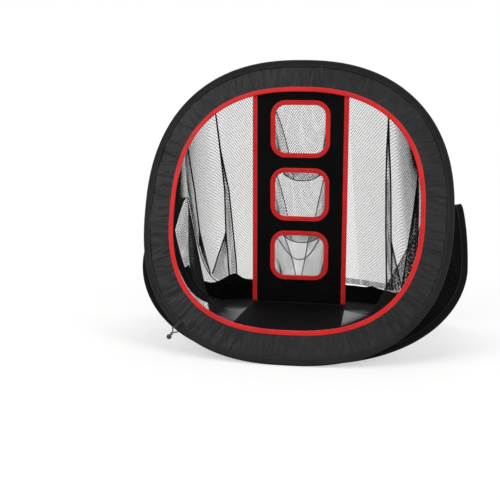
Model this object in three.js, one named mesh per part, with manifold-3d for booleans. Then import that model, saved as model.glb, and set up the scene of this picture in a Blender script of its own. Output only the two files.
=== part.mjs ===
// Golf chipping net: a pop-up practice net of two spring-steel hoops, cloth borders, netting and a target panel.
// Millimetres, +Z up, front towards -Y. The origin ends up on the ground under the middle of its box.

import * as THREE from 'three';
import { mergeVertices } from 'three/addons/utils/BufferGeometryUtils.js';
import Module from 'manifold-3d';

const manifold = await Module();
manifold.setup();

// ---------------------------------------------------------------- driving dimensions

// Front hoop, measured over the outside of its hem. Its height runs along the hoop, not straight up.
const FRONT_WIDTH = 610;
const FRONT_HEIGHT = 604;
const FRONT_SQUARENESS = 2.41;
const FRONT_LEAN = THREE.MathUtils.degToRad(23.1);
const FRONT_BOW = 40;
const FRONT_STATIONS = 64;

// Rear hoop, a saddle: it lies on the ground at both ends and rises to a peak at each side.
const REAR_WIDTH = 656;
const REAR_OFFSET_X = 8;
const REAR_END_Y = 420;
const REAR_WIDEST_Y = 185;
const REAR_PEAK_Y = 282;
const REAR_PEAK_RISE = 255;
const REAR_NEAR_SQUARENESS = 1.8;
const REAR_FAR_SQUARENESS = 2.45;
const REAR_CLIMB = 1.36;
const REAR_FALL = 3.0;
const REAR_NEAR_STATIONS = 36;
const REAR_FAR_STATIONS = 27;

// Spring wire, cloth and sewing. CLOTH is the thickness of every cloth solid.
const WIRE_RADIUS = 1.6;
const CLOTH = 0.8;
const FIT = 0.3;
const FERRULE_WALL = 0.35;
const FERRULE_LENGTH = 44;
const HEM_WIDTH = 15;
const BINDING_WIDTH = 9.5;
const FRONT_BORDER_WIDTH = 56.5;
const REAR_BORDER_WIDTH = 58;
const FLAT_CUT = 0.5;
const HINGE_GAP = 0.8;

// Target panel, its three windows and the net pockets behind them.
const PANEL_WIDTH = 192;
const PANEL_FOOT = 65;
const STRIP_FLARE = 6;
const WINDOW_WIDTH = 100;
const WINDOW_HEIGHT = 95;
const WINDOW_STEP = 6;
const WINDOW_CORNER = 21;
const WINDOW_GAP = 20.5;
const TOP_WINDOW_DROP = 77;
const POCKET_SAG = 62;
const POCKET_DEPTH = 34;
const POCKET_SLACK = 17;
const POCKET_FOOT_WIDTH = 76;
const POCKET_FOOT_CURVE = 14;
const POCKET_CLEARANCE = 25;

// Netting. The strands are drawn coarser than the real cord so that each net stays one light solid.
const NET_THICKNESS = 1.0;
const NET_STRAND = 2.2;

// Elastic closing loop with its ball, at the lower left of the front hem.
const CORD_RADIUS = 1.25;
const BALL_RADIUS = 5;
const LOOP_ANGLE = THREE.MathUtils.degToRad(229);

// ---------------------------------------------------------------- values worked out from them

const FERRULE_RADIUS = WIRE_RADIUS + FIT + FERRULE_WALL;
const COS30 = Math.cos(Math.PI / 6);
const HEM_BORE = (FERRULE_RADIUS + FIT) / COS30;
const HEM_RADIUS = HEM_BORE + CLOTH;
const SLOT_HALF = CLOTH / 2 + FIT;
const LIP_HALF = SLOT_HALF + CLOTH;
const FRONT_INNER_EDGE = FRONT_BORDER_WIDTH + BINDING_WIDTH;
const HALF_TURN = Math.PI;
const FULL_TURN = 2 * Math.PI;

// ---------------------------------------------------------------- materials

function cloth(color, roughness = 0.85) {
  return new THREE.MeshStandardMaterial({ color, roughness, metalness: 0 });
}

const BLACK_CLOTH = 0x25262a;
const REAR_CLOTH = 0x1b1c1f;
const RED_BINDING = 0xd3222c;
const NET_BLACK = 0x17181a;
const SPRING_STEEL = 0x8d9094;
const BLACK_PLASTIC = 0x121214;

function steel() {
  return new THREE.MeshStandardMaterial({ color: SPRING_STEEL, roughness: 0.35, metalness: 1 });
}

// ---------------------------------------------------------------- geometry helpers

// Closed geometry from corner points and triangles, turned inside out if its volume comes out negative.
function closedGeometry(points, triangles) {
  let volume = 0;
  for (const [i, j, k] of triangles) {
    volume += points[i].dot(new THREE.Vector3().crossVectors(points[j], points[k]));
  }
  const index = triangles.flatMap(([i, j, k]) => (volume > 0 ? [i, j, k] : [i, k, j]));
  const geometry = new THREE.BufferGeometry();
  geometry.setFromPoints(points);
  geometry.setIndex(index);
  return geometry;
}

// A frame is a point on an edge, the direction out of the cloth there, the cloth's normal and the edge's run.
function frameAt(frame, out, normal) {
  return frame.point.clone()
    .addScaledVector(frame.out, out)
    .addScaledVector(frame.normal, normal);
}

// Sweeps a section of [out, normal] points through frames. section may be a function of the frame's number.
// Both faces of a cloth are split along the same diagonals, so that a twisted one keeps its thickness.
function sweep(frames, section, closed) {
  const sectionAt = typeof section === 'function' ? section : () => section;
  const points = [];
  frames.forEach((frame, number) => {
    for (const [out, normal] of sectionAt(number)) points.push(frameAt(frame, out, normal));
  });
  const sides = sectionAt(0).length;
  const rings = frames.length;
  const triangles = [];
  for (let ring = 0; ring < (closed ? rings : rings - 1); ring += 1) {
    const here = ring * sides;
    const next = ((ring + 1) % rings) * sides;
    for (let side = 0; side < sides; side += 1) {
      const [a, b, c, d] = [here + side, here + (side + 1) % sides, next + (side + 1) % sides, next + side];
      if (side < sides / 2) triangles.push([a, b, c], [a, c, d]);
      else triangles.push([a, b, d], [b, c, d]);
    }
  }
  if (!closed) {
    const outline = sectionAt(0).map(([out, normal]) => new THREE.Vector2(out, normal));
    const caps = THREE.ShapeUtils.triangulateShape(outline, []);
    const flip = THREE.ShapeUtils.isClockWise(outline) ? -1 : 1;
    const last = (rings - 1) * sides;
    for (const [i, j, k] of caps) {
      triangles.push(flip > 0 ? [i, k, j] : [i, j, k]);
      triangles.push(flip > 0 ? [last + i, last + j, last + k] : [last + i, last + k, last + j]);
    }
  }
  return closedGeometry(points, triangles);
}

// A straight-walled pipe with a bore, swept along open frames around an axis set in from the edge.
function sweepPipe(frames, axisOut, outerRadius, innerRadius, sides) {
  const points = [];
  for (const frame of frames) {
    for (const radius of [outerRadius, innerRadius]) {
      for (let side = 0; side < sides; side += 1) {
        const angle = (FULL_TURN * side) / sides;
        points.push(frameAt(frame, axisOut + radius * Math.cos(angle), radius * Math.sin(angle)));
      }
    }
  }
  const triangles = [];
  const quad = (a, b, c, d) => triangles.push([a, b, c], [a, c, d]);
  const ringSize = 2 * sides;
  for (let side = 0; side < sides; side += 1) {
    const other = (side + 1) % sides;
    for (let ring = 0; ring < frames.length - 1; ring += 1) {
      const here = ring * ringSize;
      const next = here + ringSize;
      quad(here + side, here + other, next + other, next + side);
      quad(here + sides + other, here + sides + side, next + sides + side, next + sides + other);
    }
    const last = (frames.length - 1) * ringSize;
    quad(sides + side, sides + other, other, side);
    quad(last + side, last + other, last + sides + other, last + sides + side);
  }
  return closedGeometry(points, triangles);
}

function circleSection(axisOut, radius, sides) {
  return Array.from({ length: sides }, (_, side) => {
    const angle = (FULL_TURN * (side + 0.5)) / sides;
    return [axisOut + radius * Math.cos(angle), radius * Math.sin(angle)];
  });
}

// Hem sleeve: a tunnel round the wire whose two lips hold the border's edge between them.
function hemSection() {
  return [
    [-HEM_WIDTH, LIP_HALF],
    [-HEM_RADIUS, HEM_RADIUS],
    [-HEM_RADIUS + COS30 * HEM_RADIUS, HEM_RADIUS / 2],
    [-HEM_RADIUS + COS30 * HEM_RADIUS, -HEM_RADIUS / 2],
    [-HEM_RADIUS, -HEM_RADIUS],
    [-HEM_WIDTH, -LIP_HALF],
    [-HEM_WIDTH, -SLOT_HALF],
    [-HEM_RADIUS, -HEM_BORE],
    [-HEM_RADIUS + COS30 * HEM_BORE, -HEM_BORE / 2],
    [-HEM_RADIUS + COS30 * HEM_BORE, HEM_BORE / 2],
    [-HEM_RADIUS, HEM_BORE],
    [-HEM_WIDTH, SLOT_HALF],
  ];
}

// Bias binding folded over a raw edge. foldOut is its folded edge, and the cloth lies on its `side` of it.
function bindingSection(foldOut, side) {
  const tip = foldOut + side * BINDING_WIDTH;
  const turn = foldOut + side * CLOTH;
  return [
    [tip, LIP_HALF],
    [turn, LIP_HALF],
    [foldOut, 0],
    [turn, -LIP_HALF],
    [tip, -LIP_HALF],
    [tip, -SLOT_HALF],
    [turn, -SLOT_HALF],
    [turn, SLOT_HALF],
    [tip, SLOT_HALF],
  ];
}

// A cloth strip's section: points across it at the given places, lifted off the plain surface by lift(out).
function clothSection(places, lift) {
  const front = places.map((out) => [out, lift(out) + CLOTH / 2]);
  const back = places.map((out) => [out, lift(out) - CLOTH / 2]).reverse();
  return [...front, ...back];
}

function solidFrom(geometry) {
  const bare = geometry.clone();
  bare.deleteAttribute('normal');
  bare.deleteAttribute('uv');
  const merged = mergeVertices(bare, 1e-4);
  const mesh = new manifold.Mesh({
    numProp: 3,
    vertProperties: new Float32Array(merged.attributes.position.array),
    triVerts: new Uint32Array(merged.index.array),
  });
  return new manifold.Manifold(mesh);
}

function geometryFrom(solid) {
  const mesh = solid.getMesh();
  const geometry = new THREE.BufferGeometry();
  geometry.setAttribute('position', new THREE.BufferAttribute(mesh.vertProperties, 3));
  geometry.setIndex(new THREE.BufferAttribute(mesh.triVerts, 1));
  return geometry;
}

// Takes off what lies below the ground plane, which leaves the flat that the cloth rests on.
function cutAtGround(geometry) {
  const depth = 20;
  const slab = new THREE.BoxGeometry(4 * REAR_WIDTH, 4 * REAR_END_Y, depth);
  slab.translate(0, 0, -depth / 2);
  return geometryFrom(solidFrom(geometry).subtract(solidFrom(slab)));
}

function resample(curvePoint, count, start, end) {
  const fine = 720;
  const samples = Array.from({ length: fine + 1 }, (_, i) => start + ((end - start) * i) / fine);
  const lengths = [0];
  for (let i = 1; i <= fine; i += 1) {
    lengths.push(lengths[i - 1] + curvePoint(samples[i]).distanceTo(curvePoint(samples[i - 1])));
  }
  return Array.from({ length: count + 1 }, (_, i) => {
    const wanted = (lengths[fine] * i) / count;
    const above = Math.max(1, lengths.findIndex((length) => length >= wanted - 1e-9));
    const part = (wanted - lengths[above - 1]) / (lengths[above] - lengths[above - 1]);
    return samples[above - 1] + part * (samples[above] - samples[above - 1]);
  });
}

// ---------------------------------------------------------------- front hoop

function superellipse(angle, power) {
  const cos = Math.cos(angle);
  const sin = Math.sin(angle);
  return [
    Math.sign(cos) * Math.abs(cos) ** (2 / power),
    Math.sign(sin) * Math.abs(sin) ** (2 / power),
  ];
}

// A point of the leaning, bowed front surface: x across, s up along the hoop from its lowest edge.
function frontSurface(x, s) {
  const bow = FRONT_BOW * (x / (FRONT_WIDTH / 2)) ** 2;
  const ground = -FLAT_CUT + HEM_RADIUS * (1 - Math.cos(FRONT_LEAN));
  return new THREE.Vector3(
    x,
    s * Math.sin(FRONT_LEAN) + bow * Math.cos(FRONT_LEAN),
    ground + s * Math.cos(FRONT_LEAN) - bow * Math.sin(FRONT_LEAN),
  );
}

function frontNormal(x) {
  const slope = (2 * FRONT_BOW * x) / (FRONT_WIDTH / 2) ** 2;
  return new THREE.Vector3(slope, -Math.cos(FRONT_LEAN), Math.sin(FRONT_LEAN)).normalize();
}

function frontEdgePoint(angle) {
  const [across, up] = superellipse(angle, FRONT_SQUARENESS);
  return frontSurface((across * FRONT_WIDTH) / 2, ((1 + up) * FRONT_HEIGHT) / 2);
}

// Angle 0 is the right-hand side of the front edge and a quarter turn is its top.
function frontFrame(angle) {
  const step = 1e-3;
  const point = frontEdgePoint(angle);
  const run = frontEdgePoint(angle + step).sub(frontEdgePoint(angle - step)).normalize();
  const normal = frontNormal(point.x);
  const out = new THREE.Vector3().crossVectors(run, normal).normalize();
  return { point, out, normal, run, angle };
}

const frontAngles = resample(frontEdgePoint, FRONT_STATIONS, -HALF_TURN / 2, FULL_TURN - HALF_TURN / 2);
const halfStep = (frontAngles[1] - frontAngles[0]) / 2;
const FRONT_FRAMES = frontAngles.slice(0, -1).map((angle) => frontFrame(angle + halfStep));

// Sewing draws the border into shallow radial folds: where each lies, how wide it is and how high it stands.
const BORDER_FOLDS = [
  { at: 0.1, spread: 0.07, height: 1.9 },
  { at: 0.36, spread: 0.05, height: -1.5 },
  { at: 0.75, spread: 0.06, height: 1.4 },
  { at: 1.2, spread: 0.05, height: -1.1 },
  { at: 1.55, spread: 0.06, height: 1.2 },
  { at: 1.95, spread: 0.05, height: -1.1 },
  { at: 2.4, spread: 0.06, height: 1.4 },
  { at: 2.85, spread: 0.06, height: -1.6 },
  { at: 3.2, spread: 0.08, height: 2.1 },
  { at: 3.55, spread: 0.06, height: -1.7 },
  { at: 3.9, spread: 0.07, height: 2.2 },
  { at: 4.25, spread: 0.05, height: -1.2 },
  { at: 5.2, spread: 0.05, height: -1.2 },
  { at: 5.55, spread: 0.08, height: 2.2 },
  { at: 5.9, spread: 0.06, height: -1.7 },
];

function foldHeight(angle) {
  const turn = THREE.MathUtils.euclideanModulo(angle, FULL_TURN);
  let height = 0;
  for (const fold of BORDER_FOLDS) {
    height += fold.height * Math.exp(-(((turn - fold.at) / fold.spread) ** 2));
  }
  return height;
}

function frontBorderSection(number) {
  const outer = -(HEM_RADIUS + HEM_BORE + FIT);
  const underHem = -(HEM_WIDTH + FIT);
  const underBinding = -(FRONT_BORDER_WIDTH - FIT);
  const inner = -(FRONT_INNER_EDGE - CLOTH - FIT);
  const middle = (underHem + underBinding) / 2;
  const height = foldHeight(FRONT_FRAMES[number].angle);
  return clothSection(
    [outer, underHem, middle, underBinding, inner],
    (out) => (out === middle ? height : 0),
  );
}

function ferruleFrames(frameOf, middle, edgePoint) {
  const arc = FERRULE_LENGTH / edgePoint(middle + 0.01).distanceTo(edgePoint(middle)) * 0.01;
  return Array.from({ length: 4 }, (_, i) => frameOf(middle + arc * (i / 3 - 0.5)));
}

const WIRE_MEETING_ANGLE = THREE.MathUtils.degToRad(-80);

function frontWireFrames() {
  const gap = 0.003;
  const angles = resample(
    frontEdgePoint,
    FRONT_STATIONS,
    WIRE_MEETING_ANGLE + gap,
    WIRE_MEETING_ANGLE + FULL_TURN - gap,
  );
  return angles.map(frontFrame);
}

// ---------------------------------------------------------------- rear hoop

const REAR_START_Y = (2 * HEM_RADIUS + FIT) / Math.cos(FRONT_LEAN);
const REAR_END_LEAN = 0.27;
const REAR_END_STAND = 0.7;
const PEAK_SOFTNESS = 0.13;

function rearEdgePoint(turn) {
  const near = Math.cos(turn) > 0;
  const [ahead, across] = superellipse(turn, near ? REAR_NEAR_SQUARENESS : REAR_FAR_SQUARENESS);
  const reach = near ? REAR_WIDEST_Y - REAR_START_Y : REAR_END_Y - REAR_WIDEST_Y;
  const y = REAR_WIDEST_Y - ahead * reach;
  const climb = Math.max(0, (y - REAR_START_Y) / (REAR_PEAK_Y - REAR_START_Y)) ** REAR_CLIMB;
  const fall = Math.max(0, (REAR_END_Y - y) / (REAR_END_Y - REAR_PEAK_Y)) ** REAR_FALL;
  const soft = -PEAK_SOFTNESS * Math.log(Math.exp(-climb / PEAK_SOFTNESS) + Math.exp(-fall / PEAK_SOFTNESS));
  const rise = Math.max(0, soft) / (1 - PEAK_SOFTNESS * Math.LN2);
  return new THREE.Vector3(REAR_OFFSET_X + (across * REAR_WIDTH) / 2, y, REAR_PEAK_RISE * rise);
}

// The turn at which the rear edge is highest on the right-hand side. Half a turn is the far end.
function highestTurn() {
  let low = HALF_TURN / 4;
  let high = (HALF_TURN * 3) / 4;
  while (high - low > 1e-6) {
    const third = (high - low) / 3;
    if (rearEdgePoint(low + third).z < rearEdgePoint(high - third).z) low += third;
    else high -= third;
  }
  return (low + high) / 2;
}

const PEAK_TURN = highestTurn();

// The border stands up from the hem at both ends of the hoop and lies level, pointing inwards, at its peaks.
function rearFrame(turn) {
  const step = 1e-3;
  const run = rearEdgePoint(turn + step).sub(rearEdgePoint(turn - step)).normalize();
  const fromEnd = Math.abs(THREE.MathUtils.euclideanModulo(turn + HALF_TURN, FULL_TURN) - HALF_TURN);
  const beyondPeak = fromEnd > PEAK_TURN;
  const span = beyondPeak ? HALF_TURN - PEAK_TURN : PEAK_TURN;
  const rate = beyondPeak ? REAR_END_STAND : 1;
  const stand = ((Math.abs(fromEnd - PEAK_TURN) / span) ** rate * HALF_TURN) / 2;
  const lean = beyondPeak ? REAR_END_LEAN : Math.sin(FRONT_LEAN);
  const inward = new THREE.Vector3(
    -Math.sign(Math.sin(turn)) * Math.cos(stand),
    lean * Math.sin(stand),
    Math.sqrt(1 - lean * lean) * Math.sin(stand),
  );
  const out = inward.negate();
  const normal = new THREE.Vector3().crossVectors(run, out).normalize();
  const point = rearEdgePoint(turn);
  point.z += HEM_RADIUS * (1 - Math.abs(out.z)) - FLAT_CUT;
  return { point, out, normal, run, angle: turn };
}

const HINGE_TURN = (HINGE_GAP / 2) / (rearEdgePoint(PEAK_TURN + 0.01).y - rearEdgePoint(PEAK_TURN).y) * 0.01;

function rearFrames(start, end, stations) {
  return resample(rearEdgePoint, stations, start, end).map(rearFrame);
}

const NEAR_FRAMES = rearFrames(HINGE_TURN - PEAK_TURN, PEAK_TURN - HINGE_TURN, REAR_NEAR_STATIONS);
const FAR_FRAMES = rearFrames(PEAK_TURN + HINGE_TURN, FULL_TURN - PEAK_TURN - HINGE_TURN, REAR_FAR_STATIONS);

// The far border is cloth between two corners; from each corner to the peak its place is taken by a net.
const CORNER_TURN = THREE.MathUtils.degToRad(138);
const FAR_CLOTH_FRAMES = FAR_FRAMES.filter(({ angle }) => Math.abs(angle - HALF_TURN) < HALF_TURN - CORNER_TURN);
const FAR_CORNER = HALF_TURN - Math.abs(FAR_CLOTH_FRAMES[0].angle - HALF_TURN);

// The far cloth is slack and stands in soft crumples between its corners.
const CRUMPLE_HEIGHT = 2.2;
const CRUMPLES = 11;
const CRUMPLE_START = 0.6;
const CRUMPLE_GATHER = 6;

function rearCrumple(turn) {
  const slack = Math.sin(turn / 2) ** CRUMPLE_GATHER;
  return slack * CRUMPLE_HEIGHT * Math.sin(CRUMPLES * turn + CRUMPLE_START);
}

function rearBorderSection(frames, crumple) {
  const outer = -(HEM_RADIUS + HEM_BORE + FIT);
  const underHem = -(HEM_WIDTH + FIT);
  const inner = -REAR_BORDER_WIDTH;
  const middle = (underHem + inner) / 2;
  return (number) => {
    const fade = number === 0 || number === frames.length - 1 ? 0 : 1;
    const height = fade * crumple(frames[number].angle);
    return clothSection([outer, underHem, middle, inner], (out) => (out === middle ? height : 0));
  };
}

// ---------------------------------------------------------------- nets

// A net of diamond gaps over surface(u, v). Strands run corner to corner, and half gaps close its edges.
// columns and rows count half gaps and are even, but for the rows of a net that runs right round.
function netGeometry(surface, columns, rows, around = false) {
  const corners = new Map();
  const points = [];
  const triangles = [];
  const wrap = (i) => (around ? THREE.MathUtils.euclideanModulo(i, columns) : i);
  const at = (i, j) => surface(i / columns, j / rows);
  const inside = (i, last) => THREE.MathUtils.clamp(i, 0, last);
  const facing = (i, j) => {
    const [before, after] = around ? [i - 1, i + 1] : [inside(i - 1, columns), inside(i + 1, columns)];
    const alongV = at(i, inside(j + 1, rows)).sub(at(i, inside(j - 1, rows)));
    return at(after, j).sub(at(before, j)).cross(alongV);
  };
  // A knot faces the mean way of the gaps round it.
  const normalAt = (i, j) => {
    const normal = new THREE.Vector3();
    for (const [k, l] of [[i - 1, j], [i + 1, j], [i, j - 1], [i, j + 1]]) {
      if ((around || (k >= 0 && k <= columns)) && l >= 0 && l <= rows) normal.add(facing(k, l));
    }
    return normal.normalize();
  };
  const add = (point) => points.push(point) - 1;
  const corner = (i, j) => {
    const key = `${wrap(i)},${j}`;
    if (!corners.has(key)) {
      const middle = at(wrap(i), j);
      const half = normalAt(wrap(i), j).multiplyScalar(NET_THICKNESS / 2);
      corners.set(key, [add(middle.clone().add(half)), add(middle.clone().sub(half))]);
    }
    return corners.get(key);
  };
  const quad = (a, b, c, d) => triangles.push([a, b, c], [a, c, d]);
  const gap = (cell) => {
    const rims = cell.map(([i, j]) => corner(i, j));
    const sides = rims.length;
    const middles = [0, 1].map((face) => rims.reduce(
      (sum, rim) => sum.addScaledVector(points[rim[face]], 1 / sides),
      new THREE.Vector3(),
    ));
    const reach = rims.map((rim, k) => {
      const start = points[rim[0]];
      const along = points[rims[(k + 1) % sides][0]].clone().sub(start).normalize();
      return middles[0].clone().sub(start).cross(along).length();
    });
    const keep = Math.max(0.25, 1 - NET_STRAND / 2 / Math.min(...reach));
    const hole = rims.map((rim) => [0, 1].map((face) => add(
      middles[face].clone().lerp(points[rim[face]], keep),
    )));
    for (let k = 0; k < sides; k += 1) {
      const m = (k + 1) % sides;
      quad(rims[k][0], rims[m][0], hole[m][0], hole[k][0]);
      quad(rims[k][1], hole[k][1], hole[m][1], rims[m][1]);
      quad(hole[k][0], hole[m][0], hole[m][1], hole[k][1]);
    }
  };
  const edgeWall = (a, b) => {
    const [frontA, backA] = corner(...a);
    const [frontB, backB] = corner(...b);
    quad(frontB, frontA, backA, backB);
  };
  for (let j = 0; j <= rows; j += 1) {
    for (let i = 0; i < columns + (around ? 0 : 1); i += 1) {
      if ((i + j) % 2 === 0) continue;
      const left = around || i > 0 ? [i - 1, j] : null;
      const right = around || i < columns ? [i + 1, j] : null;
      const below = j > 0 ? [i, j - 1] : null;
      const above = j < rows ? [i, j + 1] : null;
      gap([left, below, right, above].filter(Boolean));
      if (!left) edgeWall(above, below);
      if (!below) edgeWall(left, right);
      if (!right) edgeWall(below, above);
      if (!above) edgeWall(right, left);
    }
  }
  return closedGeometry(points, triangles);
}

// The panel hangs plumb just behind the front hoop's inner edge, from its top.
const PANEL_SEAT_OUT = -(FRONT_INNER_EDGE - 4);

function panelSeat(angle) {
  return frameAt(frontFrame(angle), PANEL_SEAT_OUT, -LIP_HALF);
}

// The point of a curve round the hoop that lies at x, on its top half (side 1) or its bottom half (side -1).
function pointAcross(curve, side, x) {
  let right = side * (HALF_TURN / 8);
  let left = side * ((7 * HALF_TURN) / 8);
  for (let i = 0; i < 40; i += 1) {
    const middle = (right + left) / 2;
    if (curve(middle).x > x) right = middle;
    else left = middle;
  }
  return curve((right + left) / 2);
}

const PANEL_SEATS = [-4, -3, -2, -1, 0, 1, 2, 3, 4].map(
  (step) => pointAcross(panelSeat, 1, (step / 4) * (PANEL_WIDTH / 2)),
);
const PANEL_Y = Math.max(...PANEL_SEATS.map((seat) => seat.y)) + FIT + LIP_HALF;
const PANEL_TOP = PANEL_SEATS[4].z;

// Each window is a little lower than the one above it. Its pocket's foot stays clear of the panel's foot.
const WINDOWS = [0, 1, 2].map((row) => {
  const height = WINDOW_HEIGHT - row * WINDOW_STEP;
  const drop = row * (WINDOW_HEIGHT + 2 * BINDING_WIDTH + WINDOW_GAP) - (WINDOW_STEP * row * row) / 2;
  const middle = PANEL_TOP - TOP_WINDOW_DROP - drop;
  const foot = Math.max(middle - height / 2 - POCKET_SAG, PANEL_FOOT + POCKET_CLEARANCE);
  return { height, middle, foot };
});

const NET_HALF = NET_THICKNESS / 2;
const SIDE_NET_ANGLE = THREE.MathUtils.degToRad(-30);
const SIDE_NET_TURN = THREE.MathUtils.degToRad(60);
const NET_LAYER = NET_HALF + 1.5;
const UPPER_NET_TUCK = 1;
const GUSSET_GAP = 1.9;
const NET_SEAT = 1.7;
const FLOOR_NET_TUCK = 4;

// Nets are sewn behind the front binding, the floor net a little further under it than the upper one.
function frontNetPoint(angle, tuck) {
  return frameAt(frontFrame(angle), -(FRONT_INNER_EDGE - tuck), -(LIP_HALF + FIT + NET_HALF));
}

// Nets end at the rear border's inner edge, one layer above the other. side is -1 for the upper layer.
function rearNetPoint(turn, side) {
  return frameAt(rearFrame(turn), -(REAR_BORDER_WIDTH + NET_SEAT), side * NET_LAYER);
}

// The gusset net fills the far border's place between a peak and the cloth's corner, in the hem's lips.
const GUSSET_END_TURN = 0.016;

function gussetPoint(u, v, side) {
  const start = PEAK_TURN + HINGE_TURN + GUSSET_END_TURN;
  const turn = THREE.MathUtils.lerp(start, FAR_CORNER - GUSSET_END_TURN, u);
  const drop = THREE.MathUtils.lerp(HEM_WIDTH + GUSSET_GAP, REAR_BORDER_WIDTH, v);
  return frameAt(rearFrame(side > 0 ? turn : FULL_TURN - turn), -drop, 0);
}

// The slack upper net hangs in long pleats: where each lies across it and how far it stands off.
const NET_PLEATS = [
  { at: 0.23, height: -13 },
  { at: 0.31, height: 16 },
  { at: 0.69, height: 16 },
  { at: 0.77, height: -13 },
];
const PLEAT_SPREAD = 0.03;
const PLEAT_FULLNESS = 0.8;
const PLEAT_LIFT = 0.35;

// Where the panel hangs, the net's upper edge runs behind it and comes forward again beside it.
const BEHIND_PANEL_MARGIN = 40;
const BESIDE_PANEL_MARGIN = 80;

function upperNetEdge(angle) {
  const point = frontNetPoint(angle, UPPER_NET_TUCK);
  const half = PANEL_WIDTH / 2;
  const away = [half + BEHIND_PANEL_MARGIN, half + BESIDE_PANEL_MARGIN];
  const behind = 1 - THREE.MathUtils.smoothstep(Math.abs(point.x), ...away);
  const behindPanel = PANEL_Y + LIP_HALF + FIT + NET_HALF;
  if (behind > 0 && Math.sin(angle) > 0) point.y = THREE.MathUtils.lerp(point.y, behindPanel, behind);
  return point;
}

function upperNetPoint(u, v) {
  const angle = THREE.MathUtils.lerp(SIDE_NET_ANGLE, HALF_TURN - SIDE_NET_ANGLE, u);
  const turn = THREE.MathUtils.lerp(SIDE_NET_TURN, FULL_TURN - SIDE_NET_TURN, u);
  const point = upperNetEdge(angle).lerp(rearNetPoint(turn, -1), v);
  let pleat = 0;
  for (const { at, height } of NET_PLEATS) {
    pleat += height * Math.exp(-(((u - at) / PLEAT_SPREAD) ** 2));
  }
  const slack = Math.sin(HALF_TURN * v) ** PLEAT_FULLNESS;
  const backwards = new THREE.Vector3(0, Math.cos(FRONT_LEAN), PLEAT_LIFT);
  return point.addScaledVector(backwards, pleat * slack);
}

// The floor net is slung from the lower front edge to the rear hoop. Its middle is drawn up under the panel.
const FLOOR_SEAM_DROP = HEM_WIDTH + 4;
const FLOOR_UNDER_PANEL = 6;
const FLOOR_LIFT_SPREAD = 0.1;
const FLOOR_RISE = 4;

// Towards the far end the floor net's edge passes from the rear border's inner edge down to its hem.
const FLOOR_DROP = [0.86, 0.985];
const FLOOR_END = 0.05;

function rearFloorPoint(turn) {
  const down = THREE.MathUtils.smoothstep(Math.abs(Math.sin(turn / 2)), ...FLOOR_DROP);
  const seam = frameAt(rearFrame(turn), -FLOOR_SEAM_DROP, LIP_HALF + FIT + NET_HALF);
  return rearNetPoint(turn, 1).lerp(seam, down);
}

function floorNetBase(u, v) {
  const lastAngle = SIDE_NET_ANGLE - FLOOR_END;
  const lastTurn = SIDE_NET_TURN - FLOOR_END;
  const angle = THREE.MathUtils.lerp(-HALF_TURN - lastAngle, lastAngle, u);
  const turn = THREE.MathUtils.lerp(FULL_TURN - lastTurn, lastTurn, u);
  return frontNetPoint(angle, FLOOR_NET_TUCK).lerp(rearFloorPoint(turn), v);
}

const FLOOR_FRONT_Y = floorNetBase(0.5, 0).y;
const FLOOR_CREASE = (PANEL_Y - FLOOR_FRONT_Y) / (floorNetBase(0.5, 1).y - FLOOR_FRONT_Y);
const FLOOR_LIFT = PANEL_FOOT - FLOOR_UNDER_PANEL - floorNetBase(0.5, FLOOR_CREASE).z;

function floorNetPoint(u, v) {
  const point = floorNetBase(u, v);
  const bell = Math.exp(-(((u - 0.5) / FLOOR_LIFT_SPREAD) ** 2));
  const tent = v < FLOOR_CREASE ? v / FLOOR_CREASE : (1 - v) / (1 - FLOOR_CREASE);
  point.z += FLOOR_LIFT * bell * tent + FLOOR_RISE * (1 - bell) * Math.sin(HALF_TURN * v);
  return point;
}

// ---------------------------------------------------------------- target panel

// Rounded-rectangle frames in the panel's plane. out points at the window's middle.
function windowFrames(middleZ, width, height, radius, perCorner) {
  const frames = [];
  for (let quarter = 0; quarter < 4; quarter += 1) {
    const start = (quarter * Math.PI) / 2;
    const signX = quarter === 0 || quarter === 3 ? 1 : -1;
    const signZ = quarter < 2 ? 1 : -1;
    const cornerX = signX * (width / 2 - radius);
    const cornerZ = middleZ + signZ * (height / 2 - radius);
    for (let i = 0; i <= perCorner; i += 1) {
      const angle = start + (i / perCorner) * (Math.PI / 2);
      frames.push({
        point: new THREE.Vector3(
          cornerX + radius * Math.cos(angle),
          PANEL_Y,
          cornerZ + radius * Math.sin(angle),
        ),
        out: new THREE.Vector3(-Math.cos(angle), 0, -Math.sin(angle)),
        normal: new THREE.Vector3(0, -1, 0),
      });
    }
  }
  return frames;
}

function panelGeometry() {
  const half = PANEL_WIDTH / 2 - CLOTH - FIT;
  const shape = new THREE.Shape();
  shape.moveTo(-half, PANEL_FOOT);
  shape.lineTo(half, PANEL_FOOT);
  for (const seat of [...PANEL_SEATS].reverse()) {
    shape.lineTo(THREE.MathUtils.clamp(seat.x, -half, half), seat.z);
  }
  shape.closePath();
  const spare = CLOTH + FIT;
  for (const { height, middle } of WINDOWS) {
    const frames = windowFrames(
      middle,
      WINDOW_WIDTH + 2 * spare,
      height + 2 * spare,
      WINDOW_CORNER + spare,
      5,
    );
    shape.holes.push(new THREE.Path(frames.map(({ point }) => new THREE.Vector2(point.x, point.z))));
  }
  const geometry = new THREE.ExtrudeGeometry(shape, { depth: CLOTH, bevelEnabled: false });
  geometry.rotateX(Math.PI / 2);
  geometry.translate(0, PANEL_Y + CLOTH / 2, 0);
  return geometry;
}

function panelBindingGeometry(side) {
  const topSeat = side > 0 ? PANEL_SEATS[8] : PANEL_SEATS[0];
  const frames = [PANEL_FOOT, topSeat.z].map((z) => ({
    point: new THREE.Vector3((side * PANEL_WIDTH) / 2, PANEL_Y, z),
    out: new THREE.Vector3(side, 0, 0),
    normal: new THREE.Vector3(0, -1, 0),
  }));
  return sweep(frames, bindingSection(0, -1), false);
}

// A tapering net bag behind a window: u runs round its mouth, v down to the seam at its foot.
const POCKET_MOUTH_SQUARENESS = 4.5;
const POCKET_SEAM_HALF = 1.3;
const POCKET_SLACK_SIDE = 0.55;

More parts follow.
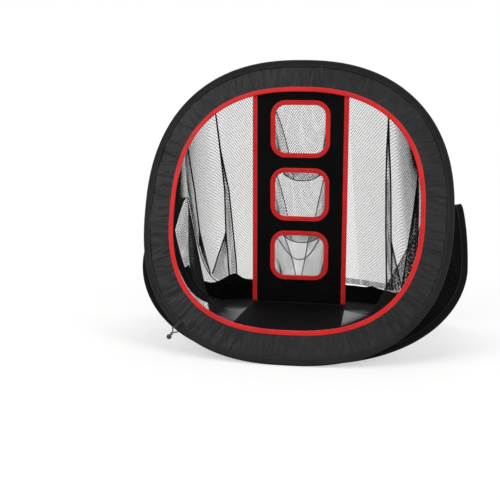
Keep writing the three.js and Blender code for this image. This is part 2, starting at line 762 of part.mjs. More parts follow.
function pocketPoint({ height, middle, foot }, u, v) {
  const angle = FULL_TURN * u;
  const [across, up] = superellipse(angle, POCKET_MOUTH_SQUARENESS);
  const mouth = new THREE.Vector3(
    across * (WINDOW_WIDTH / 2 + BINDING_WIDTH / 2),
    PANEL_Y + LIP_HALF + FIT + NET_HALF,
    middle + up * (height / 2 + BINDING_WIDTH / 2),
  );
  const seam = new THREE.Vector3(
    across * (POCKET_FOOT_WIDTH / 2),
    mouth.y + POCKET_DEPTH + up * POCKET_SEAM_HALF,
    foot + POCKET_FOOT_CURVE * across * across,
  );
  const point = mouth.lerp(seam, v);
  const slack = POCKET_SLACK_SIDE + (1 - POCKET_SLACK_SIDE) * Math.sin(angle);
  point.y += POCKET_SLACK * slack * Math.sin(HALF_TURN * v);
  return point;
}

// The cloth strip that runs back from the front hoop's lower inner edge and turns up under the panel's foot.
function stripGeometry() {
  const frontHalf = PANEL_WIDTH / 2 + STRIP_FLARE;
  const edgeOut = -(FRONT_INNER_EDGE + FIT + CLOTH / 2);
  const across = 8;
  const edge = Array.from({ length: across + 1 }, (_, i) => {
    const wanted = THREE.MathUtils.lerp(-frontHalf, frontHalf, i / across);
    return pointAcross((angle) => frameAt(frontFrame(angle), edgeOut, 0), -1, wanted);
  });
  const foot = edge.map(({ x }) => new THREE.Vector3(
    (x / frontHalf) * (PANEL_WIDTH / 2),
    PANEL_Y + CLOTH / 2,
    PANEL_FOOT - FIT - CLOTH / 2,
  ));
  const points = [];
  for (const side of [CLOTH / 2, -CLOTH / 2]) {
    for (const row of [edge, foot]) {
      for (const point of row) points.push(new THREE.Vector3(point.x, point.y, point.z + side));
    }
  }
  const row = across + 1;
  const layer = 2 * row;
  const triangles = [];
  const quad = (a, b, c, d) => triangles.push([a, b, c], [a, c, d]);
  for (let i = 0; i < across; i += 1) {
    quad(i, i + 1, i + row + 1, i + row);
    quad(layer + i, layer + i + row, layer + i + row + 1, layer + i + 1);
    quad(i + 1, i, layer + i, layer + i + 1);
    quad(row + i, row + i + 1, layer + row + i + 1, layer + row + i);
  }
  quad(0, row, layer + row, layer);
  quad(row + across, across, layer + across, layer + row + across);
  return closedGeometry(points, triangles);
}

// ---------------------------------------------------------------- closing loop

// Placed in the frame of the hem where it is sewn: x along the hem, y out from it, z off the cloth.
const LOOP_SEAT = CORD_RADIUS + 2 * FIT;
const LOOP_LENGTH = 13;
const KNOT_LENGTH = 5;
const KNOT_RADIUS = 3;

const LOOP_ROUTE = [
  [-1.6, LOOP_LENGTH],
  [-1.7, LOOP_LENGTH - 2.2],
  [-4.6, LOOP_LENGTH - 5.6],
  [-6.8, LOOP_SEAT + 3.5],
  [-5.2, LOOP_SEAT],
  [0, LOOP_SEAT],
  [5.2, LOOP_SEAT],
  [6.8, LOOP_SEAT + 3.5],
  [4.6, LOOP_LENGTH - 5.6],
  [1.7, LOOP_LENGTH - 2.2],
  [1.6, LOOP_LENGTH],
];

function cordGeometry() {
  const curve = new THREE.CatmullRomCurve3(LOOP_ROUTE.map(([x, y]) => new THREE.Vector3(x, y, 0)));
  const section = new THREE.Shape();
  section.absarc(0, 0, CORD_RADIUS, 0, FULL_TURN);
  return new THREE.ExtrudeGeometry(section, {
    steps: 26,
    curveSegments: 4,
    extrudePath: curve,
    bevelEnabled: false,
  });
}

// Webbing tab: a strap folded over the hem that leaves a loop outside it for the cord.
function tabGeometry() {
  const reach = HEM_RADIUS + FIT;
  const bend = LOOP_SEAT + CORD_RADIUS + FIT;
  const outline = new THREE.Shape();
  outline.moveTo(-HEM_WIDTH, reach);
  outline.lineTo(-HEM_WIDTH, reach + CLOTH);
  outline.lineTo(-1, reach + CLOTH);
  outline.quadraticCurveTo(bend + CLOTH, reach, bend + CLOTH, 0);
  outline.quadraticCurveTo(bend + CLOTH, -reach, -1, -reach - CLOTH);
  outline.lineTo(-HEM_WIDTH, -reach - CLOTH);
  outline.lineTo(-HEM_WIDTH, -reach);
  outline.lineTo(-1, -reach);
  outline.quadraticCurveTo(bend, -reach + CLOTH, bend, 0);
  outline.quadraticCurveTo(bend, reach - CLOTH, -1, reach);
  outline.closePath();
  const width = 8;
  const geometry = new THREE.ExtrudeGeometry(outline, {
    depth: width,
    curveSegments: 5,
    bevelEnabled: false,
  });
  geometry.translate(0, 0, -width / 2);
  // The outline's plane is (out, normal), and the extrusion runs along the hem.
  geometry.applyMatrix4(new THREE.Matrix4().makeBasis(
    new THREE.Vector3(0, 1, 0),
    new THREE.Vector3(0, 0, 1),
    new THREE.Vector3(1, 0, 0),
  ));
  return geometry;
}

function knotGeometry() {
  const profile = [
    [0, 0],
    [0.8 * KNOT_RADIUS, 0],
    [KNOT_RADIUS, 0.3 * KNOT_LENGTH],
    [KNOT_RADIUS, 0.7 * KNOT_LENGTH],
    [0.7 * KNOT_RADIUS, KNOT_LENGTH],
    [0, KNOT_LENGTH],
  ];
  const geometry = new THREE.LatheGeometry(profile.map(([x, y]) => new THREE.Vector2(x, y)), 12);
  geometry.translate(0, LOOP_LENGTH + FIT, 0);
  return geometry;
}

function ballGeometry() {
  const flat = 0.35 * BALL_RADIUS;
  const reach = Math.sqrt(BALL_RADIUS ** 2 - flat ** 2);
  const profile = [new THREE.Vector2(0, -reach)];
  const first = Math.atan2(flat, reach);
  for (let i = 0; i <= 8; i += 1) {
    const angle = first + ((Math.PI - 2 * first) * i) / 8;
    profile.push(new THREE.Vector2(BALL_RADIUS * Math.sin(angle), -BALL_RADIUS * Math.cos(angle)));
  }
  profile.push(new THREE.Vector2(0, reach));
  const geometry = new THREE.LatheGeometry(profile, 16);
  geometry.translate(0, LOOP_LENGTH + FIT + KNOT_LENGTH + FIT + reach, 0);
  return geometry;
}

// ---------------------------------------------------------------- assembly

const net = new THREE.Group();

function add(name, geometry, material, parent = net) {
  const mesh = new THREE.Mesh(geometry, material);
  mesh.name = name;
  parent.add(mesh);
  return mesh;
}

// Front hoop: spring wire with its ferrule, hem, border and red binding.
add('front_hoop_wire', sweep(frontWireFrames(), circleSection(-HEM_RADIUS, WIRE_RADIUS, 6), false), steel());
add(
  'front_hoop_joiner',
  sweepPipe(
    ferruleFrames(frontFrame, WIRE_MEETING_ANGLE, frontEdgePoint),
    -HEM_RADIUS,
    FERRULE_RADIUS,
    WIRE_RADIUS + FIT,
    12,
  ),
  steel(),
);
add('front_hem_sleeve', cutAtGround(sweep(FRONT_FRAMES, hemSection(), true)), cloth(BLACK_CLOTH));
add('front_border', sweep(FRONT_FRAMES, frontBorderSection, true), cloth(BLACK_CLOTH));
add('front_binding', sweep(FRONT_FRAMES, bindingSection(-FRONT_INNER_EDGE, 1), true), cloth(RED_BINDING, 0.7));

// Rear hoop, near half: sewn to the front hoop along the ground.
const wireSection = circleSection(-HEM_RADIUS, WIRE_RADIUS, 6);
add('rear_hoop_wire_near', sweep(NEAR_FRAMES, wireSection, false), steel());
add('rear_hem_near', cutAtGround(sweep(NEAR_FRAMES, hemSection(), false)), cloth(REAR_CLOTH));
add(
  'rear_border_near',
  sweep(NEAR_FRAMES, rearBorderSection(NEAR_FRAMES, () => 0), false),
  cloth(REAR_CLOTH),
);

// Rear hoop, far half: folds up about the two peaks. Its wire's ends meet at the far end.
const WIRE_END = 0.003;
const rightWireFrames = FAR_FRAMES.filter(({ angle }) => angle < HALF_TURN - WIRE_END);
const leftWireFrames = FAR_FRAMES.filter(({ angle }) => angle > HALF_TURN + WIRE_END);
rightWireFrames.push(rearFrame(HALF_TURN - WIRE_END));
leftWireFrames.unshift(rearFrame(HALF_TURN + WIRE_END));
add('rear_hoop_wire_far_right', sweep(rightWireFrames, wireSection, false), steel());
add('rear_hoop_wire_far_left', sweep(leftWireFrames, wireSection, false), steel());
add(
  'rear_hoop_joiner',
  sweepPipe(
    ferruleFrames(rearFrame, HALF_TURN, rearEdgePoint),
    -HEM_RADIUS,
    FERRULE_RADIUS,
    WIRE_RADIUS + FIT,
    12,
  ),
  steel(),
);
add('rear_hem_far', cutAtGround(sweep(FAR_FRAMES, hemSection(), false)), cloth(REAR_CLOTH));
add(
  'rear_border_far',
  sweep(FAR_CLOTH_FRAMES, rearBorderSection(FAR_CLOTH_FRAMES, rearCrumple), false),
  cloth(REAR_CLOTH),
);
add('rear_gusset_net_right', netGeometry((u, v) => gussetPoint(u, v, 1), 12, 2), cloth(NET_BLACK, 0.6));
add('rear_gusset_net_left', netGeometry((u, v) => gussetPoint(u, v, -1), 12, 2), cloth(NET_BLACK, 0.6));

// Target panel with its bindings, windows and pockets.
add('target_panel', panelGeometry(), cloth(BLACK_CLOTH));
add('panel_binding_right', panelBindingGeometry(1), cloth(RED_BINDING, 0.7));
add('panel_binding_left', panelBindingGeometry(-1), cloth(RED_BINDING, 0.7));
['top', 'middle', 'bottom'].forEach((place, row) => {
  const { height, middle } = WINDOWS[row];
  const frames = windowFrames(middle, WINDOW_WIDTH, height, WINDOW_CORNER, 5);
  add(`window_binding_${place}`, sweep(frames, bindingSection(0, -1), true), cloth(RED_BINDING, 0.7));
  const pocket = netGeometry((u, v) => pocketPoint(WINDOWS[row], u, v), 16, 5, true);
  add(`pocket_net_${place}`, pocket, cloth(NET_BLACK, 0.6));
});

// Nets and the strip in the floor.
add('upper_net', netGeometry(upperNetPoint, 30, 6), cloth(NET_BLACK, 0.6));
add('floor_net', netGeometry(floorNetPoint, 20, 6), cloth(NET_BLACK, 0.6));
add('floor_strip', stripGeometry(), cloth(BLACK_CLOTH));

// Closing loop on the front hem.
const loop = new THREE.Group();
const loopFrame = frontFrame(LOOP_ANGLE);
loop.applyMatrix4(new THREE.Matrix4().makeBasis(
  new THREE.Vector3().crossVectors(loopFrame.out, loopFrame.normal),
  loopFrame.out,
  loopFrame.normal,
).setPosition(loopFrame.point));
net.add(loop);
add('loop_tab', tabGeometry(), cloth(BLACK_CLOTH), loop);
add('closure_loop', cordGeometry(), cloth(NET_BLACK, 0.6), loop);
add('loop_knot', knotGeometry(), cloth(NET_BLACK, 0.6), loop);
add('toggle_ball', ballGeometry(), new THREE.MeshStandardMaterial({
  color: BLACK_PLASTIC,
  roughness: 0.35,
  metalness: 0,
}), loop);

// The origin goes to the ground under the middle of the whole net.
net.updateMatrixWorld(true);
const box = new THREE.Box3().setFromObject(net, true);
const middle = box.getCenter(new THREE.Vector3());
net.position.set(-middle.x, -middle.y, -box.min.z);

export default net;
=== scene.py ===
import math

import bpy
import numpy as np
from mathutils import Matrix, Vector


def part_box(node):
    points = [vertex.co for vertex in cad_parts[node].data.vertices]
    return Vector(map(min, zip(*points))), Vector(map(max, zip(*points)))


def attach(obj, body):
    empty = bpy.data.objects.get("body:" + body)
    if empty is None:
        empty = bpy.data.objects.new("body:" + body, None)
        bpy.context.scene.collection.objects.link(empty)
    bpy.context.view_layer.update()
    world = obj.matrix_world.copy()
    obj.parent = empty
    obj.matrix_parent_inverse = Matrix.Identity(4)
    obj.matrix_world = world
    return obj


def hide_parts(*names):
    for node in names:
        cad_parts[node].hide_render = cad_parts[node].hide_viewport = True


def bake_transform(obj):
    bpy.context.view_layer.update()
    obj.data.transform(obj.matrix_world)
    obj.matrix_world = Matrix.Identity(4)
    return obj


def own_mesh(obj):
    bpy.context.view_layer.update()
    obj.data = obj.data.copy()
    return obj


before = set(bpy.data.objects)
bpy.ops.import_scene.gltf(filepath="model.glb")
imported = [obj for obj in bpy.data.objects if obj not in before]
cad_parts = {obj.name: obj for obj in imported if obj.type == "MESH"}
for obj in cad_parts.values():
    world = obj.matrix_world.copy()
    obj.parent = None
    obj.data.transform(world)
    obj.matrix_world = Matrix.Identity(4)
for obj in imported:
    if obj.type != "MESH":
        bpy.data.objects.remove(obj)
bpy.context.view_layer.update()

# ---- The place it stands in
# A chipping net on a plain pale floor, lit by large soft lamps from the left, the right and above.
# The camera stands in front of it, a little to its right and above the top of the hoop.
scene = bpy.context.scene
scene.view_settings.view_transform = "Standard"


def aim(thing, forward):
    thing.rotation_euler = Vector(forward).to_track_quat("-Z", "Y").to_euler()


def add(tree, kind, **values):
    """A new shader node, with values on the sockets of those names."""
    node = tree.nodes.new("ShaderNode" + kind)
    for socket, value in values.items():
        node.inputs[socket.replace("_", " ")].default_value = value
    return node


def wire(tree, *joins):
    """Links from one node's output to another's socket."""
    for source, output, target, socket in joins:
        tree.links.new(source.outputs[output], target.inputs[socket])


camera = bpy.data.objects.new("camera", bpy.data.cameras.new("camera"))
scene.collection.objects.link(camera)
scene.camera = camera
camera.data.lens = 70.05
camera.data.sensor_width = 36.0
camera.data.clip_start = 0.05
camera.data.clip_end = 60.0
camera.location = (0.2293, -1.93197, 0.5814)
camera_pitch = math.radians(11.81)
aim(camera, (-0.173 * math.cos(camera_pitch), 0.985 * math.cos(camera_pitch), -math.sin(camera_pitch)))

for lamp_name, place, target, size, power in (
    ("lamp_left", (-1.7, -1.5, 1.9), (0.0, 0.0, 0.3), 1.6, 21.0),
    ("lamp_right", (2.0, -1.2, 1.5), (0.0, 0.0, 0.3), 1.5, 13.0),
    ("lamp_above", (0.1, 0.5, 2.4), (0.0, 0.1, 0.0), 2.0, 17.0),
):
    lamp = bpy.data.objects.new(lamp_name, bpy.data.lights.new(lamp_name, "AREA"))
    lamp.data.shape = "DISK"
    lamp.data.size = size
    lamp.data.energy = power
    lamp.location = place
    aim(lamp, Vector(target) - Vector(place))
    scene.collection.objects.link(lamp)


def seen_directly(tree):
    """A node that gives 1 to a ray straight from the viewer, off a mirror or through glass, otherwise 0."""
    path = add(tree, "LightPath")
    either, any_of = add(tree, "Math"), add(tree, "Math")
    either.operation = any_of.operation = "MAXIMUM"
    wire(
        tree, (path, "Is Camera Ray", either, 0), (path, "Is Glossy Ray", either, 1),
        (either, 0, any_of, 0), (path, "Is Transmission Ray", any_of, 1),
    )
    return any_of


world = bpy.data.worlds.new("studio")
scene.world = world
world.use_nodes = True
sky = world.node_tree
sky.nodes.clear()
room_light = add(sky, "Background", Color=(1.0, 0.99, 0.975, 1.0), Strength=0.62)
backdrop = add(sky, "Background", Color=(1.0, 1.0, 1.0, 1.0), Strength=1.0)
choose = add(sky, "MixShader")
wire(
    sky, (seen_directly(sky), 0, choose, 0), (room_light, 0, choose, 1), (backdrop, 0, choose, 2),
    (choose, 0, add(sky, "OutputWorld"), 0),
)

bpy.ops.mesh.primitive_plane_add(size=24.0, location=(0.0, 0.0, -0.0004))
floor = bpy.context.object
floor.name = "floor"
floor_paint = bpy.data.materials.new("floor_paint")
floor_paint.use_nodes = True
paint = floor_paint.node_tree
paint.nodes.clear()
matt = add(paint, "BsdfDiffuse", Color=(0.45, 0.45, 0.45, 1.0))
dark = add(paint, "BsdfDiffuse", Color=(0.0, 0.0, 0.0, 1.0))
glow = add(paint, "Emission", Color=(1.0, 1.0, 1.0, 1.0))
reach = add(paint, "VectorMath")
reach.operation = "LENGTH"
level = add(paint, "MapRange", From_Min=0.3, From_Max=4.0, To_Min=0.54, To_Max=0.74)
pick, both = add(paint, "MixShader"), add(paint, "AddShader")
wire(
    paint, (add(paint, "TexCoord"), "Object", reach, 0), (reach, "Value", level, "Value"),
    (level, "Result", glow, "Strength"), (seen_directly(paint), 0, pick, 0),
    (dark, 0, pick, 1), (glow, 0, pick, 2), (matt, 0, both, 0), (pick, 0, both, 1),
    (both, 0, add(paint, "OutputMaterial"), 0),
)
floor.data.materials.append(floor_paint)

# ---- Closing loop
# A short elastic cord threaded through a webbing tab on the front hem, knotted, with a bead beyond the knot.
# The shape of the front hoop comes first, because the tab is sewn to its edge.
mm = 0.001
full_turn = 2 * math.pi
hoop_width = 610 * mm
hoop_height = 604 * mm
hoop_squareness = 2.41
hoop_lean = math.radians(23.1)
hoop_bow = 40 * mm
hem_radius = 3.742 * mm
flat_cut = 0.5 * mm
front_clearance = 1.8 * mm
panel_low, panel_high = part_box("target_panel")
hoop_origin = np.array([
    (panel_low.x + panel_high.x) / 2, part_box("front_hem_sleeve")[0].y + front_clearance, 0.0
])


def squircle(angle, power):
    across, up = np.cos(angle), np.sin(angle)
    return (
        np.sign(across) * np.abs(across) ** (2 / power),
        np.sign(up) * np.abs(up) ** (2 / power),
    )


def unit(vectors):
    return vectors / np.linalg.norm(vectors, axis=-1, keepdims=True)


def front_surface(x, s):
    """A point of the bowed, leaning front: x across, s up the slope."""
    bow = hoop_bow * (x / (hoop_width / 2)) ** 2
    ground = hem_radius * (1 - math.cos(hoop_lean)) - flat_cut
    y = s * math.sin(hoop_lean) + bow * math.cos(hoop_lean)
    z = ground + s * math.cos(hoop_lean) - bow * math.sin(hoop_lean)
    return np.stack([x + 0 * s, y, z], -1) + hoop_origin


def front_edge(angle):
    across, up = squircle(angle, hoop_squareness)
    return front_surface(across * hoop_width / 2, (1 + up) * hoop_height / 2)


def front_frames(angle):
    """Point, outward direction and cloth normal of the front hoop's edge at each angle."""
    angle = np.asarray(angle, float)
    point = front_edge(angle)
    run = unit(front_edge(angle + 1e-3) - front_edge(angle - 1e-3))
    slope = 2 * hoop_bow * (point[..., 0] - hoop_origin[0]) / (hoop_width / 2) ** 2
    level_y, level_z = -math.cos(hoop_lean), math.sin(hoop_lean)
    normal = unit(np.stack([slope, np.full_like(slope, level_y), np.full_like(slope, level_z)], -1))
    return point, unit(np.cross(run, normal)), normal


def from_edge(frames, out, up):
    """Points a distance out from the edge and up off the cloth, for every frame."""
    point, outward, normal = frames
    out, up = np.asarray(out, float), np.asarray(up, float)
    return point + out[..., None] * outward + up[..., None] * normal


def principled(name, colour, roughness, **values):
    """A new material, its node tree and its shader, with the constants on the shader's own sockets."""
    material = bpy.data.materials.new(name)
    material.use_nodes = True
    shader = material.node_tree.nodes["Principled BSDF"]
    shader.inputs["Base Color"].default_value = (*colour, 1.0)
    shader.inputs["Roughness"].default_value = roughness
    for socket, value in values.items():
        shader.inputs[socket.replace("_", " ")].default_value = value
    return material, material.node_tree, shader


def mottle(tree, shader, low, high, scale, detail=4.0):
    """Soft changes of shade over the surface, from low to high. Gives back the surface's coordinates."""
    place = add(tree, "TexCoord")
    cloud = add(tree, "TexNoise", Scale=scale, Detail=detail)
    ramp = add(tree, "ValToRGB")
    for stop, position, shade in zip(ramp.color_ramp.elements, (0.3, 0.72), (low, high)):
        stop.position = position
        stop.color = (*shade, 1.0)
    wire(
        tree, (place, "Object", cloud, "Vector"), (cloud, "Fac", ramp, "Fac"),
        (ramp, "Color", shader, "Base Color"),
    )
    return place


def ridged(tree, height, output, distance, strength, over=None):
    """A bump from a node's output, laid over an earlier bump."""
    bump = add(tree, "Bump", Distance=distance, Strength=strength)
    wire(tree, (height, output, bump, "Height"))
    if over is not None:
        wire(tree, (over, "Normal", bump, "Normal"))
    return bump


def grain(tree, shader, place, scale, distance, strength):
    """Fine noise in the surface's height."""
    rough = add(tree, "TexNoise", Scale=scale, Detail=5.0)
    bump = ridged(tree, rough, "Fac", distance, strength)
    wire(tree, (place, "Object", rough, "Vector"), (bump, "Normal", shader, "Normal"))


def speckled(name, colour, roughness, shades, cloud_scale, grain_scale, strength, relief=0.05 * mm, **values):
    """A material with soft changes of shade and a fine grain."""
    material, tree, shader = principled(name, colour, roughness, **values)
    grain(tree, shader, mottle(tree, shader, *shades, cloud_scale), grain_scale, relief, strength)
    return material


def hold(thing, body, nodes=()):
    """The finished piece moves with its body and stands for its CAD nodes."""
    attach(thing, body)
    if nodes:
        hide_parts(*nodes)
    return thing


def new_object(name, mesh, material):
    thing = bpy.data.objects.new(name, mesh)
    scene.collection.objects.link(thing)
    mesh.materials.append(material)
    mesh.polygons.foreach_set("use_smooth", [True] * len(mesh.polygons))
    return thing


loop_angle = math.radians(229)
loop_point, loop_out, loop_up = (v[0] for v in front_frames([loop_angle]))
loop_side = np.cross(loop_out, loop_up)
cord_radius = 1.25 * mm
loop_seat = cord_radius + 0.6 * mm
loop_length = 13 * mm
knot_length = 5 * mm
knot_cord_radius = 1.35 * mm
knot_turn_radius = 1.55 * mm
bead_radius = 5 * mm


def on_loop(side, out, up=0.0):
    return loop_point + side * loop_side + out * loop_out + up * loop_up


def through(points, per_span):
    """Points on a smooth line that passes through every given point."""
    points = np.asarray(points, float)
    ends = np.vstack([2 * points[0] - points[1], points, 2 * points[-1] - points[-2]])
    line = []
    for i in range(len(points) - 1):
        before, start, end, after = ends[i], ends[i + 1], ends[i + 2], ends[i + 3]
        for t in np.linspace(0, 1, per_span, endpoint=False):
            line.append(0.5 * (
                2 * start
                + (end - before) * t
                + (2 * before - 5 * start + 4 * end - after) * t ** 2
                + (3 * start - before - 3 * end + after) * t ** 3
            ))
    line.append(points[-1])
    return np.array(line)


def tube_curve(name, points, radius, material):
    curve = bpy.data.curves.new(name, "CURVE")
    curve.dimensions = "3D"
    curve.bevel_depth = radius
    curve.bevel_resolution = 3
    curve.use_fill_caps = True
    spline = curve.splines.new("POLY")
    spline.points.add(len(points) - 1)
    for spot, point in zip(spline.points, points):
        spot.co = (*point, 1.0)
    curve.materials.append(material)
    thing = bpy.data.objects.new(name, curve)
    scene.collection.objects.link(thing)
    return thing


# The cord is braided: slanting ribs round it, over a soft change of shade.
loop_cord, cord_tree, cord_shader = principled("loop_cord", (0.028, 0.028, 0.030), 0.62, Sheen_Weight=0.25)
cord_place = mottle(cord_tree, cord_shader, (0.010, 0.010, 0.011), (0.028, 0.028, 0.030), 900.0)
braid = add(cord_tree, "TexWave", Scale=1 / (0.9 * mm), Distortion=2.0)
braid.bands_direction = "DIAGONAL"
braid_ridges = ridged(cord_tree, braid, "Fac", 0.15 * mm, 0.6)
wire(cord_tree, (cord_place, "Object", braid, "Vector"), (braid_ridges, "Normal", cord_shader, "Normal"))
half_loop = [
    (1.6 * mm, loop_length), (1.7 * mm, loop_length - 2.2 * mm), (4.6 * mm, loop_length - 5.6 * mm),
    (6.8 * mm, loop_seat + 3.5 * mm), (5.2 * mm, loop_seat),
]
corners = [(-side, out) for side, out in half_loop] + [(0.0, loop_seat)] + half_loop[::-1]
loop_route = through([on_loop(side, out) for side, out in corners], 5)
closing_loop = tube_curve("closing_loop", loop_route, cord_radius, loop_cord)
hold(closing_loop, "front_frame", ["closure_loop"])

knot_turns = []
for step in np.linspace(0, 1, 60):
    turn = full_turn * 2.2 * step
    knot_turns.append(on_loop(
        knot_turn_radius * math.cos(turn),
        loop_length + 0.3 * mm + knot_cord_radius + step * (knot_length - 2 * knot_cord_radius),
        knot_turn_radius * math.sin(turn),
    ))
loop_knot = tube_curve("closing_loop_knot", knot_turns, knot_cord_radius, loop_cord)
hold(loop_knot, "front_frame", ["loop_knot"])


def turned(name, profile, centre, axis, sides, material):
    """A closed body turned from a profile of (radius, height), from pole to pole."""
    axis = unit(np.asarray(axis, float))
    first = unit(np.cross(axis, [0.3, 0.2, 0.9]))
    second = np.cross(axis, first)
    points, faces = [centre + profile[0][1] * axis], []
    for radius, height in profile[1:-1]:
        for side in range(sides):
            angle = full_turn * side / sides
            spoke = math.cos(angle) * first + math.sin(angle) * second
            points.append(centre + height * axis + radius * spoke)
    points.append(centre + profile[-1][1] * axis)
    rings = len(profile) - 2
    last = 1 + (rings - 1) * sides
    for side in range(sides):
        other = (side + 1) % sides
        faces.append((0, 1 + other, 1 + side))
        for ring in range(rings - 1):
            a, b = 1 + ring * sides, 1 + (ring + 1) * sides
            faces.append((a + side, a + other, b + other, b + side))
        faces.append((last + side, last + other, len(points) - 1))
    mesh = bpy.data.meshes.new(name)
    mesh.from_pydata([tuple(p) for p in points], [], faces)
    return new_object(name, mesh, material)


bead_shades = (0.009, 0.009, 0.010), (0.020, 0.020, 0.021)
bead_plastic = speckled("bead_plastic", (0.012, 0.012, 0.013), 0.34, bead_shades, 300.0, 1400.0, 0.35)
bead_flat = 0.35 * bead_radius
bead_reach = math.sqrt(bead_radius ** 2 - bead_flat ** 2)
bead_hole = [(0.0, bead_reach - 1.6 * mm), (0.9 * mm, bead_reach - 1.6 * mm), (1.1 * mm, bead_reach)]
bead_profile = [(radius, -height) for radius, height in bead_hole]
first_angle = math.atan2(bead_flat, bead_reach)
for step in range(17):
    angle = first_angle + (math.pi - 2 * first_angle) * step / 16
    seam = 0.18 * mm if step == 8 else 0.0
    bead_profile.append(((bead_radius + seam) * math.sin(angle), -bead_radius * math.cos(angle)))
bead_profile += bead_hole[::-1]
bead_centre = on_loop(0.0, loop_length + 0.6 * mm + knot_length + bead_reach)
bead = turned("toggle_bead", bead_profile, bead_centre, loop_out, 32, bead_plastic)
hold(bead, "front_frame", ["toggle_ball"])


def strip_mesh(name, rings, closed, material):
    """A closed wall swept through rings of points, with a map of the distances along and round it."""
    rings = np.asarray(rings, float)
    stations, sides = rings.shape[:2]
    points = rings.reshape(-1, 3)
    centres = rings.mean(1)
    along = np.linalg.norm(np.diff(centres, axis=0, append=centres[:1]), axis=1)
    along = np.concatenate([[0.0], np.cumsum(along)])
    step = np.linalg.norm(np.diff(rings, axis=1, append=rings[:, :1]), axis=2).mean(0)
    round_it = np.concatenate([[0.0], np.cumsum(step)])
    faces, maps = [], []
    for i in range(stations if closed else stations - 1):
        here, there = i * sides, ((i + 1) % stations) * sides
        for j in range(sides):
            k = (j + 1) % sides
            faces.append((here + j, here + k, there + k, there + j))
            maps += [
                (along[i], round_it[j]), (along[i], round_it[j + 1]),
                (along[i + 1], round_it[j + 1]), (along[i + 1], round_it[j]),
            ]
    if not closed:
        faces += [tuple(range(sides - 1, -1, -1)), tuple(range((stations - 1) * sides, stations * sides))]
        maps += [(0.0, 0.0)] * (2 * sides)
    mesh = bpy.data.meshes.new(name)
    mesh.from_pydata(points.tolist(), [], faces)
    cloth_map = mesh.uv_layers.new(name="cloth_map")
    cloth_map.data.foreach_set("uv", np.array(maps, float).ravel())
    a, b, c = (points[[f[i] for f in faces]] for i in (0, 1, 2))
    if float((a * np.cross(b, c)).sum()) < 0:
        mesh.flip_normals()
    return new_object(name, mesh, material)


def woven(name, dark, light, roughness, thread, sheen, pucker=0.5, gloss=0.14, gathers=0.0):
    """Plain-woven cloth: over-and-under threads on the cloth map, soft change of shade, fine crumpling."""
    material, tree, shader = principled(
        name, light, roughness, Specular_IOR_Level=gloss, Sheen_Weight=sheen, Sheen_Roughness=0.45
    )
    place = mottle(tree, shader, dark, light, 14.0, 6.0)
    scaled = add(tree, "Mapping", Scale=(1 / thread, 1 / thread, 1 / thread))
    checks = add(tree, "TexChecker", Scale=1.0)
    over = add(tree, "Mix")
    wire(
        tree, (place, "UV", scaled, "Vector"), (scaled, "Vector", checks, "Vector"), (checks, "Fac", over, 0)
    )
    for direction, socket in (("X", 2), ("Y", 3)):
        wave = add(tree, "TexWave", Scale=0.5)
        wave.bands_direction = direction
        wire(tree, (scaled, "Vector", wave, "Vector"), (wave, "Fac", over, socket))
    threads = ridged(tree, over, 0, 0.12 * mm, 0.35)
    crumple = add(tree, "TexNoise", Scale=55.0, Detail=3.0)
    surface = ridged(tree, crumple, "Fac", 1.6 * mm, pucker, threads)
    wire(tree, (place, "Object", crumple, "Vector"))
    if gathers:
        drawn = add(tree, "Mapping", Scale=(1 / (13 * mm), 1 / (60 * mm), 1.0))
        pull = add(tree, "TexNoise", Scale=1.0, Detail=2.5, Distortion=0.6)
        surface = ridged(tree, pull, "Fac", 7.0 * mm, gathers, surface)
        wire(tree, (place, "UV", drawn, "Vector"), (drawn, "Vector", pull, "Vector"))
    wire(tree, (surface, "Normal", shader, "Normal"))
    return material


tab_webbing = woven("tab_webbing", (0.012, 0.012, 0.013), (0.026, 0.026, 0.028), 0.7, 1.1 * mm, 0.3)
tab_width = 8 * mm
tab_wall = 0.4 * mm
hem_width = 15 * mm
tab_reach = hem_radius + 0.3 * mm
tab_bend = loop_seat + cord_radius + 0.3 * mm
tab_top = [
    (-hem_width, tab_reach + 0.4 * mm),
    (-0.55 * hem_width, tab_reach + 0.4 * mm),
    (-1.0 * mm, tab_reach + 0.35 * mm),
    (0.75 * tab_bend, 0.62 * tab_reach),
]
tab_under = [(out, -up) for out, up in reversed(tab_top)]
tab_profile = through(tab_top + [(tab_bend + tab_wall, 0.0)] + tab_under, 6)
tab_side = unit(np.gradient(tab_profile, axis=0)) * tab_wall
tab_side = np.stack([-tab_side[:, 1], tab_side[:, 0]], 1)
tab_across = [(1, -0.5), (1, 0.0), (1, 0.5), (-1, 0.5), (-1, 0.0), (-1, -0.5)]
tab_rings = [
    [on_loop(side * tab_width, out + face * lean_out, up + face * lean_up) for face, side in tab_across]
    for (out, up), (lean_out, lean_up) in zip(tab_profile, tab_side)
]
loop_tab = strip_mesh("loop_tab_webbing", tab_rings, False, tab_webbing)
hold(loop_tab, "front_frame", ["loop_tab"])

# ---- Front hoop wire
# Two coils of spring steel wire make the hoops; each closes in a crimped steel ferrule.
# They lie inside the hems, so only their finish is given here.
steel_shades = (0.30, 0.31, 0.33), (0.46, 0.47, 0.49)
spring_steel = speckled(
    "spring_steel", (0.42, 0.43, 0.45), 0.32, steel_shades, 120.0, 900.0, 0.3, 0.04 * mm, Metallic=1.0
)
for node_name in (
    "front_hoop_wire", "front_hoop_joiner", "rear_hoop_wire_near",
    "rear_hoop_wire_far_right", "rear_hoop_wire_far_left", "rear_hoop_joiner",
):
    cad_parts[node_name].data.materials.clear()
    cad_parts[node_name].data.materials.append(spring_steel)

# ---- Front hem
# A sleeve of black polyester folded round the wire and sewn to the border's edge with one row of stitches.
# It is drawn in a little between stitches, and is flattened where it stands on the ground.
hem_cloth = woven("hem_cloth", (0.007, 0.007, 0.008), (0.014, 0.014, 0.0155), 0.6, 0.9 * mm, 0.06, 0.45)
hem_wall = 0.8 * mm
lip_half = 1.5 * mm


